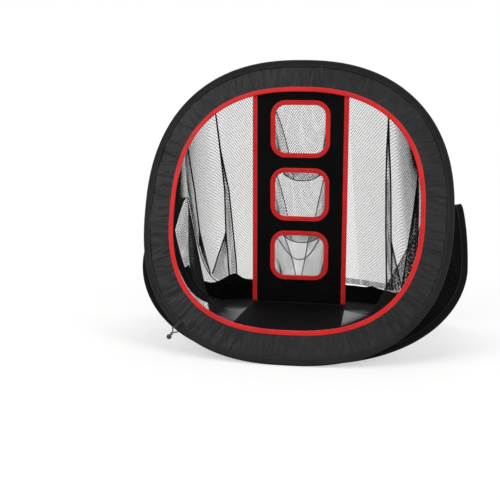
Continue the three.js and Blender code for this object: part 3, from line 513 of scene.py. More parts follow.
def hem_rings(frames, seed):
    """The sleeve's section at every frame: round the wire outside and inside, with two lips on the cloth."""
    chance = np.random.default_rng(seed)
    arc = np.linspace(math.radians(118), -math.radians(118), 15)
    place = np.arange(len(frames[0]))
    waves = sum(
        np.sin(place * rate + chance.uniform(0, 6.3)) * height
        for rate, height in ((0.55, 0.10), (0.93, 0.12), (1.7, 0.10), (2.3, 0.06))
    ) * mm
    walls = []
    for radius, lip in ((hem_radius, lip_half), (hem_radius - hem_wall, lip_half - hem_wall)):
        wall = [(-hem_width, lip), (-0.82 * hem_width, lip + 0.1 * mm)]
        wall += [(-hem_radius + radius * math.cos(a), radius * math.sin(a)) for a in arc]
        wall += [(-0.82 * hem_width, -lip - 0.1 * mm), (-hem_width, -lip)]
        walls.append(wall)
    rings = []
    for out, up in walls[0] + walls[1][::-1]:
        swell = waves if abs(up) > 0.4 * mm and out > -0.8 * hem_width else 0.0
        rings.append(from_edge(frames, out, up + np.sign(up) * swell * 0.6))
    rings = np.stack(rings, 1)
    rings[..., 2] = np.maximum(rings[..., 2], 0.0)
    return rings


def even_angles(edge, start, end, count):
    """Angles that step evenly along an edge, and the length of the edge."""
    fine = np.linspace(start, end, 6000)
    run = np.concatenate([[0.0], np.cumsum(np.linalg.norm(np.diff(edge(fine), axis=0), axis=1))])
    return np.interp(np.linspace(0, run[-1], count), run, fine), float(run[-1])


front_angles, hoop_run = even_angles(front_edge, -math.pi / 2, 1.5 * math.pi, 721)
front_angles = front_angles[:-1]
front_ring = front_frames(front_angles)
front_hem = strip_mesh("front_hem", hem_rings(front_ring, 3), True, hem_cloth)
hold(front_hem, "front_frame", ["front_hem_sleeve"])


def line_tree(name, inputs, steps):
    """A Geometry Nodes group that makes a mesh along lines, with its sizes as named inputs."""
    tree = bpy.data.node_groups.new(name, "GeometryNodeTree")
    face = tree.interface
    face.new_socket("Lines", in_out="INPUT", socket_type="NodeSocketGeometry")
    sizes = {
        label: face.new_socket(label, in_out="INPUT", socket_type="NodeSocket" + kind).identifier
        for label, kind in inputs
    }
    face.new_socket("Mesh", in_out="OUTPUT", socket_type="NodeSocketGeometry")
    made = [tree.nodes.new("NodeGroupInput")] + [tree.nodes.new("GeometryNode" + step) for step in steps]
    wire(tree, (made[0], "Lines", made[1], 0), (made[-1], 0, tree.nodes.new("NodeGroupOutput"), 0))
    return tree, sizes, made


# A row of stitches is a thread shape set at even steps along every line.
stitches, stitch_sizes, (given, line, spots, thread, each, real, finish) = line_tree(
    "row_of_stitches",
    (
        ("Stitch spacing", "Float"), ("Stitch length", "Float"), ("Thread radius", "Float"),
        ("Thread", "Material"),
    ),
    ("MeshToCurve", "CurveToPoints", "MeshCylinder", "InstanceOnPoints", "RealizeInstances", "SetMaterial"),
)
spots.mode = "LENGTH"
thread.inputs["Vertices"].default_value = 5
wire(
    stitches, (line, 0, spots, "Curve"), (given, "Stitch spacing", spots, "Length"),
    (given, "Stitch length", thread, "Depth"), (given, "Thread radius", thread, "Radius"),
    (spots, "Points", each, "Points"), (spots, "Rotation", each, "Rotation"),
    (thread, "Mesh", each, "Instance"), (each, 0, real, 0),
    (real, 0, finish, "Geometry"), (given, "Thread", finish, "Material"),
)


def grown(name, lines, tree, sizes, values, closed=False, smooth=False):
    """The mesh that a node tree makes along lines of points, as a plain mesh object."""
    points, edges, base = [], [], 0
    for line in lines:
        count = len(line)
        points.append(np.asarray(line, float))
        edges += [(base + i, base + i + 1) for i in range(count - 1)]
        if closed:
            edges.append((base + count - 1, base))
        base += count
    source = bpy.data.meshes.new(name + "_lines")
    source.from_pydata(np.vstack(points).tolist(), edges, [])
    seed_object = bpy.data.objects.new(name + "_lines", source)
    scene.collection.objects.link(seed_object)
    growth = seed_object.modifiers.new("growth", "NODES")
    growth.node_group = tree
    for label, value in values.items():
        growth[sizes[label]] = value
    view = bpy.context.evaluated_depsgraph_get()
    mesh = bpy.data.meshes.new_from_object(seed_object.evaluated_get(view), depsgraph=view)
    mesh.name = name
    bpy.data.objects.remove(seed_object)
    thing = bpy.data.objects.new(name, mesh)
    scene.collection.objects.link(thing)
    if smooth:
        mesh.polygons.foreach_set("use_smooth", [True] * len(mesh.polygons))
    return thing


def sew(name, lines, body, thread, spacing=3.4 * mm, closed=False):
    """A row of stitches along each line, as one piece."""
    row = grown(name, lines, stitches, stitch_sizes, {
        "Stitch spacing": spacing,
        "Stitch length": 0.74 * spacing,
        "Thread radius": 0.24 * mm,
        "Thread": thread,
    }, closed)
    return hold(row, body)


def thread_finish(name, dark, light):
    return speckled(name, light, 0.5, (dark, light), 700.0, 2500.0, 0.4, Sheen_Weight=0.3)


black_thread = thread_finish("black_thread", (0.016, 0.016, 0.017), (0.045, 0.045, 0.048))
hem_seam = 12.6 * mm
sew(
    "front_hem_stitches", [from_edge(front_ring, -hem_seam, lip_half + 0.25 * mm)],
    "front_frame", black_thread, closed=True,
)

# ---- Front border
# One ring of black polyester cut wider than its hoop, so that the hem and the binding gather it.
# The gathers stand as slanted radial folds, highest at the lower corners and the sides.
border_cloth = woven(
    "border_cloth", (0.006, 0.006, 0.0072), (0.013, 0.013, 0.015), 0.4, 0.9 * mm, 0.02, 0.9, 0.22, 1.0
)
border_width = 56.5 * mm
binding_width = 9.5 * mm
inner_edge = border_width + binding_width
border_outer = 7.1 * mm
across_places = 22
cloth_half = 0.4 * mm


def fold_field(angle, part, folds):
    """Height of slanted folds at an angle and a part of the way across the border."""
    height = 0.0
    for at, slant, spread, lift, middle in folds:
        away = (angle - at - slant * (part - 0.5) + math.pi) % full_turn - math.pi
        reach = np.exp(-((part - middle) / 0.42) ** 2)
        height = height + lift * np.exp(-(away / spread) ** 2) * reach
    return height


gather = np.random.default_rng(17)
border_folds = []
for at, lift in (
    (0.10, 1.9), (0.36, -1.5), (0.75, 1.4), (1.2, -1.1), (1.55, 1.2), (1.95, -1.1), (2.4, 1.4), (2.85, -1.6),
    (3.2, 2.1), (3.55, -1.7), (3.9, 2.2), (4.25, -1.2), (5.2, -1.2), (5.55, 2.2), (5.9, -1.7),
):
    border_folds.append((at, gather.uniform(-0.05, 0.05), 0.06, 1.3 * lift * mm, 0.5))
small_folds = 96
for number in range(small_folds):
    at = full_turn * (number + gather.uniform(-0.4, 0.4)) / small_folds
    low_corner = math.exp(-((at - 5.5) / 0.55) ** 2) + 0.7 * math.exp(-((at - 3.9) / 0.5) ** 2)
    side_fold = 0.5 * math.exp(-((at - 0.1) / 0.5) ** 2) + 0.4 * math.exp(-((at - 3.1) / 0.4) ** 2)
    strength = 0.45 + 0.9 * low_corner + 0.7 * side_fold
    border_folds.append((
        at, gather.uniform(-0.10, 0.10), gather.uniform(0.012, 0.026),
        gather.choice([-1, 1]) * gather.uniform(0.8, 2.0) * strength * mm,
        gather.choice([0.1, 0.35, 0.65, 0.9]),
    ))


def border_rings(frames, angle, outer, inner, folds):
    front_side, back_side = [], []
    for part in np.linspace(0, 1, across_places):
        out = -(outer + (inner - outer) * part)
        ease = min(1.0, part / 0.14) * min(1.0, (1 - part) / 0.42)
        lift = fold_field(angle, part, folds) * ease
        front_side.append(from_edge(frames, out, lift + cloth_half))
        back_side.append(from_edge(frames, out, lift - cloth_half))
    return np.stack(front_side + back_side[::-1], 1)


border_section = border_rings(front_ring, front_angles, border_outer, inner_edge - 1.1 * mm, border_folds)
front_border = strip_mesh("front_border_cloth", border_section, True, border_cloth)
hold(front_border, "front_frame", ["front_border"])

# ---- Front binding
# Red bias tape folded over the border's raw inner edge and held by one row of stitches.
# It is soft and slightly rounded, and covers the tops of the nets and of the panel.
red_tape, tape_tree, tape_shader = principled(
    "red_tape", (0.70, 0.018, 0.020), 0.48,
    Sheen_Weight=0.06, Sheen_Tint=(1.0, 0.3, 0.3, 1.0), Specular_IOR_Level=0.2,
)
tape_place = mottle(tape_tree, tape_shader, (0.60, 0.010, 0.012), (0.76, 0.020, 0.022), 30.0, 5.0)
tape_scaled = add(tape_tree, "Mapping", Scale=(1 / (0.9 * mm), 1 / (0.9 * mm), 1.0))
twill = add(tape_tree, "TexWave", Scale=0.35)
twill.bands_direction = "DIAGONAL"
tape_soft = add(tape_tree, "TexNoise", Scale=160.0)
tape_ribs = ridged(tape_tree, twill, "Fac", 0.12 * mm, 0.45)
tape_gather = ridged(tape_tree, tape_soft, "Fac", 0.6 * mm, 0.5, tape_ribs)
wire(
    tape_tree, (tape_place, "UV", tape_scaled, "Vector"), (tape_scaled, "Vector", twill, "Vector"),
    (tape_place, "Object", tape_soft, "Vector"), (tape_gather, "Normal", tape_shader, "Normal"),
)
red_thread = thread_finish("red_thread", (0.30, 0.020, 0.020), (0.62, 0.075, 0.070))
red_stitch = 3.0 * mm
seam_from_edge = 1.7 * mm
on_tape = lip_half + 0.15 * mm


def tape_rings(frames, fold_out, side, wander):
    """Folded tape round an edge at fold_out; side is the way from the fold to the cloth it covers."""
    outline = [
        (p * binding_width, h * lip_half)
        for p, h in ((1.0, 0.86), (0.9, 1.0), (0.6, 1.06), (0.3, 1.06), (0.14, 1.0), (0.05, 0.72), (0.0, 0.3))
    ]
    inside, tongue = 0.16 * binding_width, 0.7 * mm
    outline += [(p, -h) for p, h in reversed(outline)]
    outline += [(binding_width, -tongue), (inside, -tongue), (inside, tongue), (binding_width, tongue)]
    rings = [
        from_edge(frames, fold_out + side * p + 0.25 * wander * (p > 0.5 * binding_width), h)
        for p, h in outline
    ]
    return np.stack(rings, 1)


def wander_along(count, seed, height):
    """A small even wandering of a sewn edge, which closes on itself."""
    chance = np.random.default_rng(seed)
    place = np.arange(count) * full_turn / count
    return sum(
        np.sin(place * turns + chance.uniform(0, 6.3)) * height / turns ** 0.3
        for turns in (11, 17, 29, 43)
    )


def both_faces(frames, out, up):
    """The line of a seam on the cloth's two faces."""
    return [from_edge(frames, out, side * up) for side in (1, -1)]


front_tape_rings = tape_rings(front_ring, -inner_edge, 1, wander_along(len(front_angles), 5, 0.8 * mm))
front_tape = strip_mesh("front_border_binding", front_tape_rings, True, red_tape)
hold(front_tape, "front_frame", ["front_binding"])
tape_seam = inner_edge - binding_width + seam_from_edge
sew(
    "front_binding_stitches", both_faces(front_ring, -tape_seam, on_tape),
    "front_frame", red_thread, red_stitch, closed=True,
)

# ---- Rear hoop, near half
# A longer hoop of the same make behind the front one: it rises from the ground seam to a peak on each side.
# Its hem is the same sleeve, and its border stands up from the hem and turns level towards the peaks.
rear_width, rear_offset = 656 * mm, 8 * mm
rear_widest, rear_end = 185 * mm, 420 * mm
rear_peak_at, rear_peak_rise, peak_softness = 282 * mm, 255 * mm, 0.13
rear_start = (2 * hem_radius + 0.3 * mm) / math.cos(hoop_lean)
rear_border_width = 58 * mm
far_lean = 0.27


def rear_edge(turn):
    """A point of the rear hoop: half a turn from the ground seam is the middle of the far end."""
    near = np.cos(turn) > 0
    ahead, across = squircle(turn, np.where(near, 1.8, 2.45))
    y = rear_widest - ahead * np.where(near, rear_widest - rear_start, rear_end - rear_widest)
    climb = np.maximum(0, (y - rear_start) / (rear_peak_at - rear_start)) ** 1.36
    fall = np.maximum(0, (rear_end - y) / (rear_end - rear_peak_at)) ** 3.0
    soft = -peak_softness * np.log(np.exp(-climb / peak_softness) + np.exp(-fall / peak_softness))
    rise = np.maximum(0, soft) / (1 - peak_softness * math.log(2))
    return np.stack([rear_offset + across * rear_width / 2, y, rear_peak_rise * rise], -1) + hoop_origin


quarter = np.linspace(math.radians(60), math.radians(150), 20001)
peak_turn = float(quarter[np.argmax(rear_edge(quarter)[:, 2])])


def rear_frames(turn):
    """Point, outward direction and cloth normal of the rear hoop's edge at each turn."""
    turn = np.asarray(turn, float)
    point = rear_edge(turn)
    run = unit(rear_edge(turn + 1e-3) - rear_edge(turn - 1e-3))
    from_end = np.abs((turn + math.pi) % full_turn - math.pi)
    beyond = from_end > peak_turn
    span = np.where(beyond, math.pi - peak_turn, peak_turn)
    stand = (np.abs(from_end - peak_turn) / span) ** np.where(beyond, 0.7, 1.0) * math.pi / 2
    lean = np.where(beyond, far_lean, math.sin(hoop_lean))
    inward = np.stack([
        -np.sign(np.sin(turn)) * np.cos(stand),
        lean * np.sin(stand),
        np.sqrt(1 - lean ** 2) * np.sin(stand),
    ], -1)
    point[..., 2] += hem_radius * (1 - np.abs(inward[..., 2])) - flat_cut
    return point, -inward, unit(np.cross(run, -inward))


hinge_turn = 0.4 * mm / (rear_edge(peak_turn + 0.01)[1] - rear_edge(peak_turn)[1]) * 0.01
near_angles, near_run = even_angles(rear_edge, hinge_turn - peak_turn, peak_turn - hinge_turn, 400)
far_angles, _ = even_angles(rear_edge, peak_turn + hinge_turn, full_turn - peak_turn - hinge_turn, 380)
near_line, far_line = rear_frames(near_angles), rear_frames(far_angles)
# The rear hoop's border and hem cloths are darker copies of the front border and hem cloths; their extra
# darkness is painted shade.
rear_cloth = woven(
    "rear_cloth", (0.0015, 0.0015, 0.0017), (0.004, 0.004, 0.0045), 0.48, 0.9 * mm, 0.0, 0.7, 0.035, 0.5
)
rear_hem_cloth_painted_shade = woven(
    "rear_hem_cloth_painted_shade", (0.003, 0.003, 0.0033), (0.007, 0.007, 0.0077), 0.58, 0.9 * mm, 0.0, 0.45, 0.06
)


def sew_rear_hem(name, frames, body):
    sew(name, both_faces(frames, -hem_seam, lip_half + 0.2 * mm), body, black_thread)


near_hem = strip_mesh("rear_hem_near_sleeve", hem_rings(near_line, 8), False, rear_hem_cloth_painted_shade)
hold(near_hem, "front_frame", ["rear_hem_near"])
near_folds = [
    (-1.5, 0.05, 0.10, 1.0 * mm, 0.5), (1.3, -0.04, 0.09, 1.1 * mm, 0.6), (0.55, 0.05, 0.08, -0.8 * mm, 0.5),
    (-0.7, -0.06, 0.08, 0.9 * mm, 0.4), (1.0, 0.06, 0.05, -0.6 * mm, 0.3),
]
near_section = border_rings(near_line, near_angles, border_outer, rear_border_width, near_folds)
near_border = strip_mesh("rear_border_near_cloth", near_section, False, rear_cloth)
hold(near_border, "front_frame", ["rear_border_near"])
sew_rear_hem("rear_hem_near_stitches", near_line, "front_frame")

# ---- Rear hoop, far half
# The far half folds up about the two peaks. Its border is cloth only between the two far corners.
# That cloth is slack, so it stands in soft crumples with a wavy free edge.
far_hem = strip_mesh("rear_hem_far_sleeve", hem_rings(far_line, 12), False, rear_hem_cloth_painted_shade)
hold(far_hem, "rear_flap", ["rear_hem_far"])
corner_turn = math.radians(138)
inside_corner = far_angles[np.abs(far_angles - math.pi) < math.pi - corner_turn]
far_corner = math.pi - abs(float(inside_corner[0]) - math.pi)
far_cloth_angles, far_cloth_run = even_angles(
    rear_edge, inside_corner[0] - math.radians(10), inside_corner[-1] + math.radians(17), 320
)
slack = np.random.default_rng(23)
crumples = [
    (slack.uniform(inside_corner[0], inside_corner[-1]), slack.uniform(-0.22, 0.22),
     slack.uniform(0.018, 0.055), slack.choice([-1, 1]) * slack.uniform(1.4, 4.6) * mm,
     slack.choice([0.4, 0.65, 0.9]))
    for _ in range(52)
]
heaps = ((217, 0.13, 1.0), (198, 0.16, 0.35))
heap_rise, heap_pull = 17 * mm, 10 * mm


def crumpled_rings(frames, angle, outer, inner):
    """The slack cloth: crumples grow from the hem to the free edge, which also rises and falls."""
    wave = 2.6 * np.sin(angle * 13.0 + 0.8) + 1.8 * np.sin(angle * 22.0 + 2.0) + 0.9 * np.sin(angle * 41.0)
    end = np.clip(np.minimum((angle - angle[0]) / 0.20, (angle[-1] - angle) / 0.28), 0, 1)
    end = end * end * (3 - 2 * end)
    heap = sum(share * np.exp(-((angle - math.radians(at)) / spread) ** 2) for at, spread, share in heaps)
    front_side, back_side = [], []
    for part in np.linspace(0, 1, across_places):
        free = part ** 1.5
        lift = fold_field(angle, part, crumples) * (0.15 + 0.85 * free) * min(1.0, part / 0.15) * end
        down = outer + (inner - outer) * part * (0.35 + 0.65 * end)
        out = (0.8 * wave * mm - heap_pull * heap) * free * end - down
        rise = np.zeros((len(angle), 3))
        rise[:, 2] = heap_rise * heap * free * end
        front_side.append(from_edge(frames, out, lift + cloth_half) + rise)
        back_side.append(from_edge(frames, out, lift - cloth_half) + rise)
    return np.stack(front_side + back_side[::-1], 1)


far_section = crumpled_rings(rear_frames(far_cloth_angles), far_cloth_angles, border_outer, rear_border_width)
far_border = strip_mesh("rear_border_far_cloth", far_section, False, rear_cloth)
hold(far_border, "rear_flap", ["rear_border_far"])
sew_rear_hem("rear_hem_far_stitches", far_line, "rear_flap")

# ---- Netting
# Knotless polyester netting, cut on the bias, so that its two sets of yarns slant across each sewn panel.
# The first panels are the two gussets that fill the rear border's place between a peak and a far corner.
yarn_shades = (0.003, 0.003, 0.0033), (0.008, 0.008, 0.0085)
net_yarn = speckled(
    "net_yarn", (0.012, 0.012, 0.013), 0.6, yarn_shades, 60.0, 3000.0, 0.4, Specular_IOR_Level=0.1
)
net_pitch = 4.2 * mm
yarn_radius = 0.45 * mm

# A yarn is a thin round bar along every line.
yarns, yarn_sizes, (given, line, circle, along, real, finish) = line_tree(
    "yarns",
    (("Yarn radius", "Float"), ("Yarn sides", "Int"), ("Closed ends", "Bool"), ("Yarn", "Material")),
    ("MeshToCurve", "CurvePrimitiveCircle", "CurveToMesh", "RealizeInstances", "SetMaterial"),
)
wire(
    yarns, (given, "Yarn radius", circle, "Radius"), (given, "Yarn sides", circle, "Resolution"),
    (line, 0, along, "Curve"), (circle, 0, along, "Profile Curve"),
    (given, "Closed ends", along, "Fill Caps"), (along, 0, real, 0),
    (real, 0, finish, "Geometry"), (given, "Yarn", finish, "Material"),
)


def net_lines(surface, u_start=0.0, u_end=1.0, offset=0.0, pitch=net_pitch, steep=1.0):
    """The two slanting sets of yarns over surface(u, v), a mesh pitch apart, as lines of points."""
    fine_u, fine_v = np.linspace(u_start, u_end, 1500), np.linspace(0, 1, 13)
    grid = surface(np.repeat(fine_u[:, None], 13, 1), np.repeat(fine_v[None], 1500, 0))
    depth = np.linalg.norm(np.diff(grid, axis=1), axis=2).sum(1) / steep
    middle = grid[:, 6]
    across = np.concatenate([[0.0], np.cumsum(np.linalg.norm(np.diff(middle, axis=0), axis=1))])
    step = pitch * math.sqrt(1 + 1 / steep ** 2)
    lines = []
    for way in (1, -1):
        low, high = (-depth.max(), across[-1]) if way > 0 else (0.0, across[-1] + depth.max())
        for k in np.arange(low + offset * step, high, step):
            part = way * (across - k) / depth
            here = (part >= 0) & (part <= 1)
            marks = np.flatnonzero(np.diff(np.concatenate([[0], here.astype(int), [0]])))
            for first, last in zip(marks[::2], marks[1::2] - 1):
                reach = across[last] - across[first]
                if reach < 0.6 * mm:
                    continue
                count = max(2, int(math.ceil(reach * steep / pitch)) + 1)
                where = np.linspace(across[first], across[last], count)
                u = np.interp(where, across, fine_u)
                lines.append(surface(u, np.clip(way * (where - k) / np.interp(u, fine_u, depth), 0, 1)))
    return lines


def netting(name, lines, radius=yarn_radius, sides=3, closed_ends=False):
    return grown(name, lines, yarns, yarn_sizes, {
        "Yarn radius": radius,
        "Yarn sides": sides,
        "Closed ends": closed_ends,
        "Yarn": net_yarn,
    }, smooth=True)


def seam_cords(name, lines, radius):
    """Turned net edges, rolled and overlocked: a thick dark line along each seam."""
    return netting(name, lines, radius, 6, True)


def measured(surface, u_start=0.0, u_end=1.0):
    """Width, length and area of a panel, taken along its longest lines."""
    u, v = np.meshgrid(np.linspace(u_start, u_end, 200), np.linspace(0, 1, 30), indexing="ij")
    grid = surface(u, v)
    along, down = np.diff(grid, axis=0), np.diff(grid, axis=1)
    area = float(np.linalg.norm(np.cross(along[:, :-1], down[:-1]), axis=2).sum())
    longest = [float(np.linalg.norm(side, axis=2).sum(way).max()) for way, side in enumerate((along, down))]
    return *longest, area


def declare_net(sizes):
    width, length, area = sizes
    min(max(area, 0.301 * width * length), width * length)


def smooth_step(x, low, high):
    t = np.clip((x - low) / (high - low), 0, 1)
    return t * t * (3 - 2 * t)


gusset_clear = 0.016
gusset_top = hem_width + 1.9 * mm


def gusset(side):
    def surface(u, v):
        start = peak_turn + hinge_turn + gusset_clear
        turn = start + (far_corner - gusset_clear - start) * u
        drop = gusset_top + (rear_border_width - gusset_top) * v
        frames = rear_frames(turn if side > 0 else full_turn - turn)
        return from_edge(frames, -drop, 1.5 * mm * np.sin(v * math.pi) * np.sin(u * 9.0))
    return surface


for side, word in ((1, "right"), (-1, "left")):
    surface = gusset(side)
    gusset_net = netting("rear_gusset_" + word, net_lines(surface), 0.6 * mm)
    hold(gusset_net, "rear_flap", ["rear_gusset_net_" + word])
    edge_roll = seam_cords("rear_gusset_roll_" + word, [surface(np.linspace(0.0, 1.0, 60), 1.0)], 1.4 * mm)
    hold(edge_roll, "rear_flap")
    declare_net(measured(surface))

# ---- Target panel
# A strip of black cloth that hangs plumb behind the front hoop's inner edge, with three windows cut in it.
# Its sides are bound with red tape, and its foot is sewn to the strip that lies in the floor.
panel_width, panel_foot = 192 * mm, 65 * mm
panel_y = (panel_low.y + panel_high.y) / 2
panel_middle = hoop_origin[0]
seat_angles = np.linspace(math.radians(25), math.radians(155), 900)
seat_line = from_edge(front_frames(seat_angles), -(inner_edge - 4 * mm), -lip_half)
window_width, window_height, window_corner = 100 * mm, 95 * mm, 21 * mm
first_window, between_windows, smaller_each = 77 * mm, 20.5 * mm, 6 * mm


def panel_top_at(x):
    """Height of the panel's sewn top edge at a distance from its middle."""
    return float(np.interp(panel_middle + x, seat_line[::-1, 0], seat_line[::-1, 2]))


panel_top = panel_top_at(0.0)
windows = []
for row, place in enumerate(("top", "middle", "bottom")):
    height = window_height - smaller_each * row
    fall = row * (window_height + 2 * binding_width + between_windows) - smaller_each / 2 * row * row
    middle = panel_top - first_window - fall
    foot = max(middle - height / 2 - 62 * mm, panel_foot + 25 * mm)
    windows.append((place, height, middle, foot))


def panel_billow(x, z):
    """How far the hanging cloth stands off its plane, away from its sewn edges."""
    rise = (z - panel_foot) / (panel_top - panel_foot)
    free = np.clip(2.4 - 2.6 * np.abs(x) / (panel_width / 2), 0, 1)
    free = free * np.clip(rise / 0.1, 0, 1) * np.clip(9 - 9 * rise, 0, 1)
    wave = 0.9 * np.sin(rise * 7.3 + x * 14.0) + 0.6 * np.sin(rise * 15.1 - x * 31.0 + 1.0)
    return (wave + 0.35 * np.sin(x * 90.0 + rise * 4.0)) * mm * free


def in_a_window(x, z):
    """Whether a face of the panel's grid, by its place, would fill a window or lie under its tape."""
    for _, height, middle, _ in windows:
        dx = max(0.0, abs(x - panel_middle) - (window_width / 2 - window_corner))
        dz = max(0.0, abs(z + 1.4 * mm - middle) - (height / 2 - window_corner))
        if math.hypot(dx, dz) < window_corner + 2.5 * mm:
            return True
    return False


def cloth_sheet(name, points, columns, rows, flat_axes, material, cut_out=None):
    """A piece of cloth from a grid of points, mapped along two of its axes and given its thickness."""
    faces = []
    for a in (i * (rows + 1) + j for i in range(columns) for j in range(rows)):
        b = a + rows + 1
        if cut_out is None or not cut_out((points[a][0] + points[b][0]) / 2, points[a][2]):
            faces.append((a, b, b + 1, a + 1))
    mesh = bpy.data.meshes.new(name)
    mesh.from_pydata(points, [], faces)
    cloth_map = mesh.uv_layers.new(name="cloth_map")
    places = np.array(points)[[v for f in faces for v in f]]
    cloth_map.data.foreach_set("uv", places[:, flat_axes].ravel())
    thing = new_object(name, mesh, material)
    wall = thing.modifiers.new("cloth_thickness", "SOLIDIFY")
    wall.thickness = 2 * cloth_half
    wall.offset = 0.0
    return thing


columns, levels = 72, 150
panel_half = panel_width / 2 - 1.1 * mm
panel_points = []
for x in np.linspace(-panel_half, panel_half, columns + 1):
    for j in range(levels + 1):
        z = panel_foot + (panel_top_at(x) - panel_foot) * j / levels
        panel_points.append((panel_middle + x, panel_y + float(panel_billow(x, z)), z))
panel_cloth = woven(
    "panel_cloth_finish", (0.002, 0.0019, 0.002), (0.0045, 0.0042, 0.0044), 0.65, 1.0 * mm, 0.0, 0.5, 0.04
)
panel = cloth_sheet("panel_cloth", panel_points, columns, levels, [0, 2], panel_cloth, in_a_window)
hold(panel, "front_frame", ["target_panel"])


def flat_frames(points, outs):
    """Frames in the panel's plane, facing the golfer."""
    points, outs = np.asarray(points, float), np.asarray(outs, float)
    return points, outs, np.repeat([[0.0, -1.0, 0.0]], len(points), 0)


def bind(kind, place, edge, closed, seed, height):
    """Red tape round one raw edge of the panel, with its stitches on both faces."""
    rings = tape_rings(edge, 0.0, -1, wander_along(len(edge[0]), seed, height))
    tape = strip_mesh(kind + "_tape_" + place, rings, closed, red_tape)
    hold(tape, "front_frame", [kind + "_binding_" + place])
    sew(
        kind + "_tape_stitches_" + place, both_faces(edge, seam_from_edge - binding_width, on_tape),
        "front_frame", red_thread, red_stitch, closed,
    )
    return tape


for side, word in ((1, "right"), (-1, "left")):
    edge_x = side * panel_width / 2
    heights = np.linspace(panel_foot, panel_top_at(edge_x), 150)
    edge = flat_frames([(panel_middle + edge_x, panel_y, z) for z in heights], [(side, 0.0, 0.0)] * 150)
    bind("panel", word, edge, False, 40 + side, 0.5 * mm)

# ---- Window bindings
# Each window's raw edge is bound with the same red tape, eased round four rounded corners.
# It follows the billow of the panel, and one row of red stitches shows on each face.


def window_frames(middle, width, height, radius, per_corner, per_side):
    points, outs = [], []
    for quarter in range(4):
        start = quarter * math.pi / 2
        cx = (1 if quarter in (0, 3) else -1) * (width / 2 - radius)
        cz = middle + (1 if quarter < 2 else -1) * (height / 2 - radius)
        for i in range(per_corner + 1):
            a = start + i / per_corner * math.pi / 2
            points.append((panel_middle + cx + radius * math.cos(a), panel_y, cz + radius * math.sin(a)))
            outs.append((-math.cos(a), 0.0, -math.sin(a)))
        along = (height if quarter % 2 else width) - 2 * radius
        way = np.array([-math.sin(start + math.pi / 2), 0.0, math.cos(start + math.pi / 2)])
        last = np.array(points[-1])
        for i in range(1, per_side):
            points.append(tuple(last + way * along * i / per_side))
            outs.append(outs[-1])
    return flat_frames(points, outs)


for place, height, middle, _ in windows:
    edge = window_frames(middle, window_width, height, window_corner, 14, 12)
    edge[0][:, 1] += panel_billow(edge[0][:, 0] - panel_middle, edge[0][:, 2])
    bind("window", place, edge, True, len(place), 0.35 * mm)

# ---- Pocket bags
# A tapering bag of netting behind each window, sewn to the window's tape at its mouth, and flat at its foot.
# Its back wall is one layer; its sides are folded double, with a turned seam at each fold.
pocket_depth, pocket_slack = 34 * mm, 17 * mm
pocket_foot_width, pocket_foot_curve = 76 * mm, 14 * mm
behind_tape = lip_half + 0.8 * mm
bag_yarn_radius = 0.28 * mm
bag_squareness = 4.5
mouth_half = (window_width + binding_width) / 2


def pocket_surface(height, middle, foot):
    def surface(u, v):
        angle = full_turn * u
        across, up = squircle(angle, bag_squareness)
        mouth_x, mouth_z = across * mouth_half, middle + up * (height + binding_width) / 2
        mouth_y = panel_y + behind_tape + panel_billow(mouth_x, mouth_z)
        foot_x = across * pocket_foot_width / 2
        foot_y = mouth_y + pocket_depth + up * 1.3 * mm
        foot_z = foot + pocket_foot_curve * across * across
        belly = np.sin(math.pi * v)
        slack = pocket_slack * (0.55 + 0.45 * np.sin(angle)) * belly
        ripple = 1.6 * mm * np.sin(angle * 9.0 + v * 3.0) * belly * np.clip(1.0 - np.sin(angle), 0.15, 1)
        return np.stack([
            panel_middle + mouth_x + (foot_x - mouth_x) * v,
            mouth_y + (foot_y - mouth_y) * v + slack + ripple * belly,
            mouth_z + (foot_z - mouth_z) * v,
        ], -1)
    return surface


def round_bag(x, v):
    """How far round the bag a place is, from its distance off the middle and its share of the way down."""
    half = mouth_half * (1 - v) + pocket_foot_width / 2 * v
    share = np.clip(x * mm / half, -0.99, 0.99)
    return np.arccos(np.sign(share) * np.abs(share) ** (bag_squareness / 2)) / full_turn


def dart(marks, v):
    """Where a seam through the marks (distance from the middle, share of the way down) lies on the bag."""
    marks = np.array(marks)
    return round_bag(np.interp(v, marks[:, 1], marks[:, 0]), v)


def beside(surface, marks, side_u):
    """The second layer of netting between a seam and the bag's side."""
    def layer(across, v):
        u = dart(marks, v)
        return surface(u + (side_u - u) * across, v) + np.array([0.0, 1.4 * mm, 0.0])
    return layer


